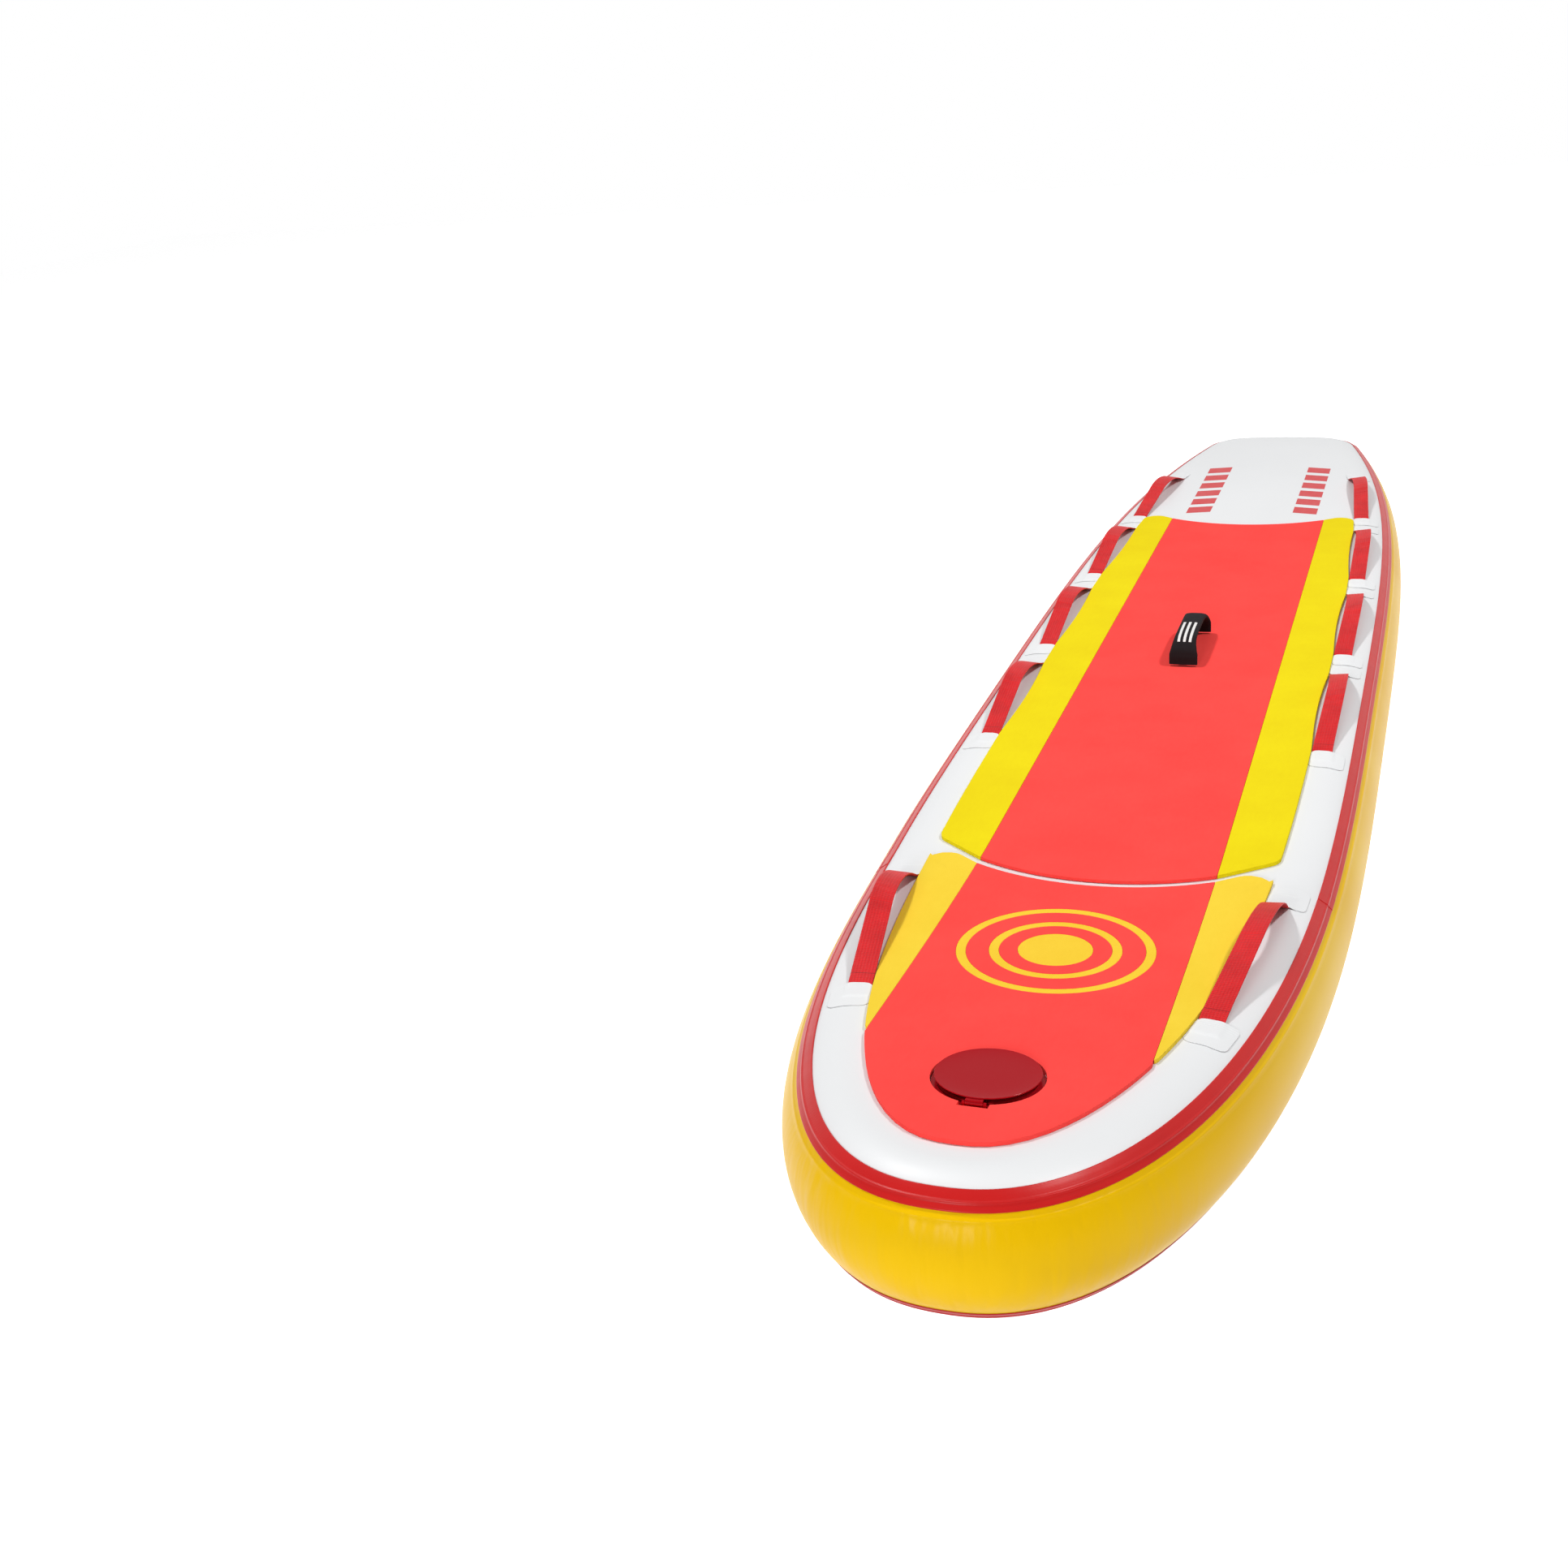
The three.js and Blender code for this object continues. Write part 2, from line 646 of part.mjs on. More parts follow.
// A flat ring, or a disc with no hole, that follows the deck
function ringOnDeck(outerRadius, innerRadius, bottom, top) {
  const circles = innerRadius > 0 ? [outerRadius, innerRadius] : [outerRadius];
  const points = [];
  for (const height of [top, bottom]) {
    for (const radius of circles) {
      for (let i = 0; i < ringSegments; i++) {
        const angle = (2 * Math.PI * i) / ringSegments;
        const x = targetStation + radius * Math.cos(angle);
        points.push([x, radius * Math.sin(angle), deckTop + rockerLift(x) + height]);
      }
    }
  }
  const at = (level, circle, i) => (level * circles.length + circle) * ringSegments + (i % ringSegments);
  const triangles = [];
  const quad = (a, b, c, d) => triangles.push([a, b, c], [a, c, d]);
  for (let i = 0; i < ringSegments; i++) {
    quad(at(1, 0, i), at(1, 0, i + 1), at(0, 0, i + 1), at(0, 0, i));
    if (circles.length === 2) {
      quad(at(0, 0, i), at(0, 0, i + 1), at(0, 1, i + 1), at(0, 1, i));
      quad(at(0, 1, i), at(0, 1, i + 1), at(1, 1, i + 1), at(1, 1, i));
      quad(at(1, 1, i), at(1, 1, i + 1), at(1, 0, i + 1), at(1, 0, i));
    } else if (i > 0 && i < ringSegments - 1) {
      triangles.push([at(0, 0, 0), at(0, 0, i), at(0, 0, i + 1)]);
      triangles.push([at(1, 0, 0), at(1, 0, i + 1), at(1, 0, i)]);
    }
  }
  return meshGeometry(points, triangles);
}

const inlayTop = padTop - inlayRecess;
const inlayBottom = inlayTop - inlayThickness;
const grooveFloor = inlayBottom - clearance;
const targets = [
  ['target_outer_ring', outerRingRadius, outerRingRadius - ringWidth],
  ['target_middle_ring', middleRingRadius, middleRingRadius - ringWidth],
  ['target_disc', discRadius, 0],
];
const grooves = targets.map(([, outer, inner]) => (
  ringOnDeck(outer + clearance, inner > 0 ? inner - clearance : 0, grooveFloor, padTop + cutOverrun)
));
const coverHole = onValveSeat(pillar(coverHoleRadius, -cutOverrun, 2 * cutOverrun, ringSegments));
addPart('nose_pad_center', cut(slabOnDeck(noseRows, padBottom, padTop), ...grooves, coverHole), redFoam);
for (const [name, outer, inner] of targets) {
  addPart(name, ringOnDeck(outer, inner, inlayBottom, inlayTop), amberFoam);
}

// Nose pad, yellow strips that run out to a point where the colour line meets the pad's edge
const noseStart = endStation(nosePadRear);
const noseCorner = stripCorner(noseStart);
const outlineStations = outline.map((p) => p.x).filter((x) => {
  const [edgeX, edgeY] = padEdge(seamFrame(Math.min(x, halfLength - padInset)));
  return edgeX > padEdge(seamFrame(noseStart))[0] + 2 * noseCorner && edgeY > outerLine + padPointWidth
    && edgeX < colorLineFront;
}).sort((a, b) => a - b);
const shortStations = shortStripShares.map((share) => noseStart + (colorLineFront - noseStart) * share);
const noseStations = outlineStations.length > 1 ? outlineStations : shortStations;
const noseEdge = noseStations.map((x) => padEdge(seamFrame(x)));
const edgeSlope = noseEdge.slice(-2);
const pointShare = (edgeSlope[1][1] - outerLine - padPointWidth) / (edgeSlope[0][1] - edgeSlope[1][1]);
const nosePointEnd = [
  Math.min(edgeSlope[1][0] + (edgeSlope[1][0] - edgeSlope[0][0]) * pointShare, colorLineFront),
  outerLine + padPointWidth,
];
const noseOuter = [
  ...cornerArc(endPoint(nosePadRear), padEdge(seamFrame(noseStart)), noseEdge[0], noseCorner),
  ...noseEdge,
  nosePointEnd,
];
const noseStrip = slabOnDeck(
  stripRows([endPoint(nosePadRear), [nosePointEnd[0], outerLine]], noseOuter), padBottom, padTop,
);
addPart('nose_pad_strip_port', noseStrip, yellowFoam);
addPart('nose_pad_strip_starboard', mirrored(noseStrip), yellowFoam);

// A webbing band along a path of [along, height] pairs, placed by a function of along, across and height.
// An end marked square is cut by a plane across the path's level line, so that it clears what turns beside it.
function webbingBand(path, width, thickness, place, squareStart, squareEnd) {
  const section = path.map(([along, height], i) => {
    const before = path[Math.max(i - 1, 0)];
    const after = path[Math.min(i + 1, path.length - 1)];
    const run = new THREE.Vector2(after[0] - before[0], after[1] - before[1]).normalize();
    const square = (i === 0 && squareStart) || (i === path.length - 1 && squareEnd);
    const offset = square ? [0, 1 / run.x] : [-run.y, run.x];
    return [1, -1].map((side) => [
      along + side * offset[0] * thickness / 2,
      height + side * offset[1] * thickness / 2,
    ]);
  });
  const points = section.flatMap(([top, bottom]) => [
    place(top[0], width / 2, top[1]), place(top[0], -width / 2, top[1]),
    place(bottom[0], -width / 2, bottom[1]), place(bottom[0], width / 2, bottom[1]),
  ]);
  const triangles = [[0, 2, 1], [0, 3, 2]];
  for (let i = 0; i < path.length - 1; i++) {
    for (let j = 0; j < 4; j++) {
      const a = 4 * i + j;
      const b = 4 * i + ((j + 1) % 4);
      triangles.push([a, b + 4, a + 4], [a, b, b + 4]);
    }
  }
  const end = 4 * (path.length - 1);
  triangles.push([end, end + 1, end + 2], [end, end + 2, end + 3]);
  return meshGeometry(points, triangles);
}

// The arch of a loop between its two cut ends, the same shape from either root
function archPath(span, height, stubRun, stubHeight, alongShares, heightShares) {
  const rise = [[stubRun + clearance / 2, stubHeight]];
  alongShares.forEach((share, i) => rise.push([span * share, height * heightShares[i]]));
  const fall = rise.slice(0, -1).reverse().map(([along, z]) => [span - along, z]);
  return [...rise, ...fall];
}

// Grab handles. Each handle's frame runs from its rear root to its front root.
function handleRoot(station) {
  const frame = seamFrame(station);
  const x = frame.x - frame.nx * handleInset;
  return new THREE.Vector3(x, frame.y - frame.ny * handleInset, deckTop + rockerLift(x));
}

function handleFrame(handle) {
  const rear = handleRoot(handle.rear);
  const front = handleRoot(handle.front);
  const along = front.clone().sub(rear);
  const span = along.length();
  along.normalize();
  const across = new THREE.Vector3(-along.y, along.x, 0).normalize();
  const up = along.clone().cross(across);
  const place = (s, w, h) => {
    const point = rear.clone().addScaledVector(along, s).addScaledVector(across, w).addScaledVector(up, h);
    const beyond = s < 0 || s > span;
    if (beyond) point.z = deckTop + rockerLift(point.x) + h;
    return point.toArray();
  };
  return { span, place };
}

// How far the deck has rounded down towards the rail, at an inset from the seam line
function railDrop(inset) {
  const past = Math.max(flatReach - inset, 0);
  return boardThickness / 2 * (1 - Math.sqrt(1 - (past / railReach) ** 2));
}

// A patch glued on the deck, from the root outwards, that follows the deck's rounded edge
function patchOnDeck(station, away, length) {
  const turned = patchTurnShares.map((share) => flatReach + (patchOuterInset - flatReach) * share);
  const insets = [padInset - clearance, handleInset, ...turned];
  const rows = [0, 0.5, 1].map((share) => {
    const frame = seamFrame(station + away * length * share);
    return insets.map((inset) => ({
      x: frame.x - frame.nx * inset,
      y: frame.y - frame.ny * inset,
      drop: railDrop(inset),
    }));
  });
  const ordered = away > 0 ? rows : rows.reverse();
  const drops = new Map(ordered.flat().map(({ x, y, drop }) => [`${x},${y}`, drop]));
  const plan = ordered.map((row) => row.map(({ x, y }) => [x, y]));
  return slabOnDeck(plan, clearance, clearance + patchThickness, (x, y) => -drops.get(`${x},${y}`));
}

// How high a straight leg has risen where the fixed end of the webbing meets the loop
const tailMiddle = clearance + webbingThickness / 2;
function handleStubHeight(handle, frame) {
  const start = tailMiddle + webbingThickness;
  return start + (handle.height - start) * handleStubRun / (frame.span * archLegShare);
}

// The base at one root: the patch, the webbing's sewn end under its raised cover, and the webbing's first rise
function handleBase(handle, frame, away, length) {
  const flip = (s) => (away > 0 ? frame.span - s : s);
  const rise = [
    [flip(-webbingTailLength), tailMiddle],
    [flip(-webbingThickness), tailMiddle],
    [flip(0), tailMiddle + webbingThickness],
    [flip(handleStubRun - clearance / 2), handleStubHeight(handle, frame)],
  ];
  const path = away > 0 ? rise.reverse() : rise;
  const webbing = webbingBand(path, webbingWidth, webbingThickness, frame.place, away > 0, away < 0);
  const coverLength = webbingTailLength + tailCoverMargin;
  const coverEnds = [[flip(-coverLength), 0], [flip(-webbingThickness), 0]];
  const coverHeight = webbingThickness + patchThickness;
  const coverPath = (away > 0 ? coverEnds.reverse() : coverEnds)
    .map(([s]) => [s, clearance + coverHeight / 2]);
  const cover = webbingBand(coverPath, webbingWidth + 2 * tailCoverMargin, coverHeight, frame.place, true, true);
  return joined(patchOnDeck(away > 0 ? handle.front : handle.rear, away, length), cover, webbing);
}

// Patches are longer where no other handle follows closely
function patchLengths(i) {
  const alone = i === 0;
  const foremost = alone || i === 1;
  const last = i === handles.length - 1;
  return [foremost ? longPatchLength : patchLength, alone || last ? longPatchLength : patchLength];
}

handles.forEach((handle, i) => {
  const frame = handleFrame(handle);
  const path = archPath(
    frame.span, handle.height, handleStubRun, handleStubHeight(handle, frame), archAlongShares, archHeightShares,
  );
  const loop = webbingBand(path, webbingWidth, webbingThickness, frame.place, true, true);
  const [frontLength, rearLength] = patchLengths(i);
  const front = handleBase(handle, frame, 1, frontLength);
  const rear = handleBase(handle, frame, -1, rearLength);
  for (const [side, turn] of [['port', (shape) => shape], ['starboard', mirrored]]) {
    const name = `handle_${side}_${i + 1}`;
    addPart(`${name}_loop`, turn(loop), redWebbing);
    addPart(`${name}_base_front`, turn(front), whiteFabric);
    addPart(`${name}_base_rear`, turn(rear), whiteFabric);
  }
});

// Carry handle. Its webbing comes up through slots in the main pad, from patches glued on the deck.
const carrySpan = carryFront - carryRear;
const padLevel = deckTop + padTop;
const carryPlace = (s, w, h) => [carryRear + s, w, padLevel + h];
const carryPath = archPath(
  carrySpan, carryHeight - sleeveThickness / 2, carryStubRun, carryStubHeight, carryAlongShares, carryHeightShares,
);
const carryCore = webbingBand(carryPath, carryWebbingWidth, carryWebbingThickness, carryPlace, true, true);
addPart('carry_handle_webbing', carryCore, blackFabric);

// The sleeve is a tube with bevelled edges, open at both ends, round the webbing
function sleeveTube(path, place) {
  const outer = [sleeveWidth / 2, sleeveThickness / 2, sleeveBevel];
  const bore = [carryWebbingWidth / 2 + clearance, carryWebbingThickness / 2 + clearance, clearance / 2];
  const bevelled = ([w, t, bevel]) => [
    [w, t - bevel], [w - bevel, t], [bevel - w, t], [-w, t - bevel],
    [-w, bevel - t], [bevel - w, -t], [w - bevel, -t], [w, bevel - t],
  ];
  const loops = [bevelled(outer), bevelled(bore)];
  const count = loops[0].length;
  const points = path.flatMap(([along, height], i) => {
    const before = path[Math.max(i - 1, 0)];
    const after = path[Math.min(i + 1, path.length - 1)];
    const run = new THREE.Vector2(after[0] - before[0], after[1] - before[1]).normalize();
    const square = i === 0 || i === path.length - 1;
    const offset = square ? [0, 1 / run.x] : [-run.y, run.x];
    return loops.flat().map(([w, t]) => place(along + t * offset[0], w, height + t * offset[1]));
  });
  const at = (i, loop, j) => (i * 2 + loop) * count + (j % count);
  const triangles = [];
  const quad = (a, b, c, d) => triangles.push([a, b, c], [a, c, d]);
  const end = path.length - 1;
  for (let j = 0; j < count; j++) {
    for (let i = 0; i < end; i++) {
      quad(at(i, 0, j), at(i, 0, j + 1), at(i + 1, 0, j + 1), at(i + 1, 0, j));
      quad(at(i, 1, j), at(i + 1, 1, j), at(i + 1, 1, j + 1), at(i, 1, j + 1));
    }
    quad(at(0, 0, j), at(0, 1, j), at(0, 1, j + 1), at(0, 0, j + 1));
    quad(at(end, 0, j), at(end, 0, j + 1), at(end, 1, j + 1), at(end, 1, j));
  }
  return meshGeometry(points, triangles);
}
addPart('carry_handle_sleeve', sleeveTube(carryPath, carryPlace), blackFabric);

// The base at one end: a patch on the deck, the webbing through the pad and the sleeve's fixed cuff above it
function carryBase(away) {
  const root = away > 0 ? carryFront : carryRear;
  const floor = deckTop + clearance;
  const flip = (s) => (away > 0 ? carrySpan - s : s);
  const patch = block(
    Math.min(root, root + away * carryPatchLength), Math.max(root, root + away * carryPatchLength),
    -carryPatchWidth / 2, carryPatchWidth / 2, floor, floor + patchThickness,
  );
  const under = carryWebbingThickness / 2 + patchThickness - padTop;
  const rise = [
    [flip(-carryPatchLength / 2), under],
    [flip(-carryWebbingThickness), under],
    [flip(0), 0],
    [flip(carryStubRun - clearance / 2), carryStubHeight],
  ];
  const path = away > 0 ? rise.reverse() : rise;
  const webbing = webbingBand(path, carryWebbingWidth, carryWebbingThickness, carryPlace, away > 0, away < 0);
  const cuffStart = clearance + sleeveThickness / 2;
  const lean = carryStubRun / carryStubHeight;
  const cuffEnds = [
    [flip(cuffStart * lean), cuffStart],
    [flip(carryStubRun - clearance / 2), carryStubHeight],
  ];
  const cuffPath = away > 0 ? cuffEnds.reverse() : cuffEnds;
  const cuff = webbingBand(cuffPath, sleeveWidth, sleeveThickness, carryPlace, away > 0, away < 0);
  return joined(patch, webbing, cuff);
}
addPart('carry_handle_base_front', carryBase(1), blackFabric);
addPart('carry_handle_base_rear', carryBase(-1), blackFabric);

// Valve body: flange on the deck, barrel in the pocket, a seat with air holes and a guide for the plunger
const flangeTop = clearance + valveFlangeThickness;
const seatTop = -valveSeatDepth;
const seatBottom = seatTop - valveSeatThickness;
const guideRadius = plungerStemRadius + clearance;
const bodyProfile = [
  [valveBarrelRadius, -valveDepth], [valveBarrelRadius, clearance], [valveFlangeRadius, clearance],
  [valveFlangeRadius, flangeTop - clearance], [valveFlangeRadius - clearance, flangeTop],
  [valveBore, flangeTop], [valveBore, seatTop], [guideRadius, seatTop], [guideRadius, seatBottom],
  [valveBore, seatBottom], [valveBore, -valveDepth], [valveBarrelRadius, -valveDepth],
];
const airHoles = Array.from({ length: valveAirHoleCount }, (_, i) => {
  const angle = (2 * Math.PI * i) / valveAirHoleCount;
  const hole = pillar(valveAirHoleRadius, seatBottom - cutOverrun, seatTop + cutOverrun, pinSegments);
  hole.translate(valveAirHoleCircle * Math.cos(angle), valveAirHoleCircle * Math.sin(angle), 0);
  return hole;
});
addPart('valve_body', onValveSeat(cut(lathe(bodyProfile), ...airHoles)), blackPlastic);

const ringTop = -skinThickness - 2 * clearance;
const lockProfile = [
  [valveBarrelRadius + clearance, ringTop - lockRingThickness], [lockRingRadius, ringTop - lockRingThickness],
  [lockRingRadius, ringTop], [valveBarrelRadius + clearance, ringTop],
  [valveBarrelRadius + clearance, ringTop - lockRingThickness],
];
addPart('valve_lock_ring', onValveSeat(lathe(lockProfile)), grayPlastic);

// Plunger: button, stem and a sealing disc that closes against the seat from below
const buttonTop = flangeTop - plungerButtonDepth;
const buttonBottom = buttonTop - plungerButtonThickness;
const sealTop = seatBottom - clearance;
const plungerProfile = [
  [0, sealTop - plungerDiscThickness], [plungerDiscRadius, sealTop - plungerDiscThickness],
  [plungerDiscRadius, sealTop], [plungerStemRadius, sealTop], [plungerStemRadius, buttonBottom],
  [plungerButtonRadius, buttonBottom], [plungerButtonRadius, buttonTop], [0, buttonTop],
];
addPart('valve_plunger', onValveSeat(lathe(plungerProfile)), grayPlastic);

// Spring: one unbroken helix round the stem, from the seat to the button
function springGeometry(bottom, top) {
  const steps = springTurns * springTurnSteps;
  const sides = springWireSides;
  const points = [];
  for (let i = 0; i <= steps; i++) {
    const angle = (2 * Math.PI * springTurns * i) / steps;
    const height = bottom + springWireRadius + (top - bottom - 2 * springWireRadius) * (i / steps);
    for (let j = 0; j < sides; j++) {
      const turn = (2 * Math.PI * j) / sides;
      const radius = springRadius + springWireRadius * Math.cos(turn);
      points.push([radius * Math.cos(angle), radius * Math.sin(angle), height + springWireRadius * Math.sin(turn)]);
    }
  }
  const at = (i, j) => i * sides + (j % sides);
  const triangles = [];
  for (let i = 0; i < steps; i++) {
    for (let j = 0; j < sides; j++) {
      triangles.push([at(i, j), at(i + 1, j + 1), at(i + 1, j)], [at(i, j), at(i, j + 1), at(i + 1, j + 1)]);
    }
  }
  for (let j = 1; j < sides - 1; j++) {
    triangles.push([at(0, 0), at(0, j + 1), at(0, j)], [at(steps, 0), at(steps, j), at(steps, j + 1)]);
  }
  return meshGeometry(points, triangles.map((face) => face.reverse()));
}
const springShape = springGeometry(seatTop + clearance, buttonBottom - clearance);
addPart('valve_spring', onValveSeat(springShape), springSteel);

// Cap: a lid on the flange with a skirt in the bore and a rib across it to turn it by
const capBottom = flangeTop + clearance;
const capTop = capBottom + capThickness;
const skirtRadius = valveBore - clearance;
const capProfile = [
  [0, capBottom], [skirtRadius - capSkirtWall, capBottom], [skirtRadius - capSkirtWall, capBottom - capSkirtDepth],
  [skirtRadius, capBottom - capSkirtDepth], [skirtRadius, capBottom], [capRadius, capBottom],
  [capRadius, capTop - clearance], [capRadius - clearance, capTop], [0, capTop],
];
const capRibHalf = capRadius - capSkirtWall;
const capRib = block(
  -capRibHalf, capRibHalf, -capRibWidth / 2, capRibWidth / 2, capTop - capThickness / 2, capTop + capRibHeight,
);
addPart('valve_cap', onValveSeat(joined(lathe(capProfile), capRib)), blackPlastic);

// Cover base: a ring glued on the deck round the valve, with a lip, two hinge ears and the hinge pin
const baseBottom = clearance;
const baseTop = baseBottom + coverBaseThickness;
const lipTop = baseTop + coverLipHeight;
const baseProfile = [
  [coverBaseInnerRadius, baseBottom], [coverBaseOuterRadius, baseBottom], [coverBaseOuterRadius, baseTop],
  [coverLipOuterRadius, baseTop], [coverLipOuterRadius, lipTop], [coverLipOuterRadius - coverLipWidth, lipTop],
  [coverLipOuterRadius - coverLipWidth, baseTop], [coverBaseInnerRadius, baseTop],
  [coverBaseInnerRadius, baseBottom],
];
const rimBottom = lipTop + clearance;
const hingeHeight = baseTop + clearance + coverKnuckleRadius;
const earInner = coverKnuckleHalf + clearance;
const earHalfLength = coverKnuckleRadius * earLengthShare;
const ear = (side) => {
  const near = side * earInner;
  const far = side * (earInner + coverEarThickness);
  return block(
    coverHingeReach - earHalfLength, coverHingeReach + earHalfLength, Math.min(near, far), Math.max(near, far),
    (baseBottom + baseTop) / 2, hingeHeight + earHalfLength,
  );
};
function crossPin(radius, half) {
  const pin = new THREE.CylinderGeometry(radius, radius, 2 * half, pinSegments);
  pin.translate(coverHingeReach, 0, 0);
  const shape = pin.clone();
  shape.translate(0, 0, hingeHeight);
  return shape;
}
const coverBase = joined(
  lathe(baseProfile), ear(1), ear(-1), crossPin(coverPinRadius, earInner + coverEarThickness / 2),
);
addPart('valve_cover_base', onValveSeat(coverBase), redPlastic);

// Cover flap: a shallow dome with a flat rim, a tab and the hinge knuckle
const domeRadius = coverLipOuterRadius - coverLipWidth;
const domeLine = (lift) => Array.from({ length: domeSteps + 1 }, (_, i) => {
  const radius = domeRadius * (1 - i / domeSteps);
  return [radius, rimBottom + lift + coverDome * Math.cos((Math.PI / 2) * (radius / domeRadius)) ** 2];
});
const flapProfile = [
  ...domeLine(0).reverse(), [coverRadius, rimBottom], [coverRadius, rimBottom + coverThickness],
  ...domeLine(coverThickness),
];
const tab = block(
  coverRadius - coverTabOverlap, coverHingeReach, -coverKnuckleHalf, coverKnuckleHalf,
  rimBottom, rimBottom + coverThickness,
);
const knuckle = crossPin(coverKnuckleRadius, coverKnuckleHalf);
const knuckleBore = crossPin(coverPinRadius + clearance, coverKnuckleHalf + clearance);
const flapShape = cut(joined(lathe(flapProfile), tab, knuckle), knuckleBore);
addPart('valve_cover_flap', onValveSeat(flapShape), redPlastic);

export default board;
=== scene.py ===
"""Looks of an inflatable rescue board: hull, deck pads, handles, valve, studio and camera.

All lengths are in metres in the row frame: +X towards the nose, +Y to port, +Z up.
"""
import logging
import math
from dataclasses import dataclass, field
from enum import Enum
from typing import Callable, Sequence

import bmesh
import bpy
from mathutils import Matrix, Vector


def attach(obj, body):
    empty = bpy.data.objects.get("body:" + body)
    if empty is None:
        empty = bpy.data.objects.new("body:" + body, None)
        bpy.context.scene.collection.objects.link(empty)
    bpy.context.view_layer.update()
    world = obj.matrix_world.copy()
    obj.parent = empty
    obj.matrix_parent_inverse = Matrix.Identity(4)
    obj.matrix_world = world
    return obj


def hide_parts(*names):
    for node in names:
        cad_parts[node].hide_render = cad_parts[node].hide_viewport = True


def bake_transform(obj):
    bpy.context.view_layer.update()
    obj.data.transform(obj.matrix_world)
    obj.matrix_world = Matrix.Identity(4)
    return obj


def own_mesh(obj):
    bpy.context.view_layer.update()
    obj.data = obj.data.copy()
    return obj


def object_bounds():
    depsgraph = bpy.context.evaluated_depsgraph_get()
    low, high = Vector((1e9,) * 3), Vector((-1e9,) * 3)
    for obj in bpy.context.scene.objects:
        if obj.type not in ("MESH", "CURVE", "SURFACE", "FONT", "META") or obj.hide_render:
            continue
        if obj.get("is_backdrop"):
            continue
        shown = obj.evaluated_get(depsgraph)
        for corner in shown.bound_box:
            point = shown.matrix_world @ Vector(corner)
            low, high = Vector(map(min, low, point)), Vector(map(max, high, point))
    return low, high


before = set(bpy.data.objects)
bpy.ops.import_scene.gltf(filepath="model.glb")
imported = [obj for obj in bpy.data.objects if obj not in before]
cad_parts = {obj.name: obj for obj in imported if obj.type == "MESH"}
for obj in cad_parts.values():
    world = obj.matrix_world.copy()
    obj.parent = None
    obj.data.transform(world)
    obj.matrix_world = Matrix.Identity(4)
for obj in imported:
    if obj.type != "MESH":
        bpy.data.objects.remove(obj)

log = logging.getLogger("rescue_board")

Row = list[Vector]
Spot = tuple[float, float]
Socket = bpy.types.NodeSocket
Material = bpy.types.Material
Piece = bpy.types.Object
Mesh = bmesh.types.BMesh

MERGE_DISTANCE = 2e-6  # rows of points closer than this share their vertices
SHORT_EDGE = 1e-6
SHARP_EDGE = 38.0  # degrees above which an edge isn't shaded smooth
LEAST = 1e-9  # keeps a division from failing


class Side(Enum):
    """The two sides of the board, with the sign of Y on each."""

    PORT = 1
    STARBOARD = -1


class Facing(Enum):
    """Which way a new surface looks before it gets its wall."""

    UP = 1
    DOWN = -1
    CLOSED = 0


def linear(hex_code: str) -> tuple[float, float, float, float]:
    """Turns an sRGB hex colour into linear values.

    Args:
        hex_code: Six hex digits after a hash sign.

    Returns:
        Red, green, blue and an alpha of one.
    """
    channels = [int(hex_code[i : i + 2], 16) / 255 for i in (1, 3, 5)]
    lit = [c / 12.92 if c <= 0.04045 else ((c + 0.055) / 1.055) ** 2.4 for c in channels]
    return (lit[0], lit[1], lit[2], 1.0)


def cells(period: float) -> float:
    """Noise scale that gives one cell per period, in metres."""
    return 1.0 / period


def bands(period: float) -> float:
    """Wave scale that gives one band per period, in metres."""
    return math.tau / (20.0 * period)


def add_node(
    tree: bpy.types.NodeTree, kind: str, settings: dict | None = None, inputs: dict | None = None
) -> bpy.types.Node:
    """Adds a node with its settings and links.

    Args:
        tree: The tree that gets the node.
        kind: The node's type name.
        settings: Attributes of the node.
        inputs: Values or output sockets, by input name or index.

    Returns:
        The new node.
    """
    node = tree.nodes.new(kind)
    for key, value in (settings or {}).items():
        setattr(node, key, value)
    for key, value in (inputs or {}).items():
        if isinstance(value, Socket):
            tree.links.new(value, node.inputs[key])
        else:
            node.inputs[key].default_value = value
    return node


def seen_ray(tree: bpy.types.NodeTree) -> Socket:
    """One for rays from the camera, a reflection or clear plastic, and zero for rays that light.

    Args:
        tree: The tree that gets the nodes.

    Returns:
        The output that tells the rays apart.
    """
    path = add_node(tree, "ShaderNodeLightPath")
    seen = path.outputs["Is Camera Ray"]
    for kind in ("Is Glossy Ray", "Is Transmission Ray"):
        rays = {0: seen, 1: path.outputs[kind]}
        seen = add_node(tree, "ShaderNodeMath", {"operation": "MAXIMUM"}, rays).outputs[0]
    return seen


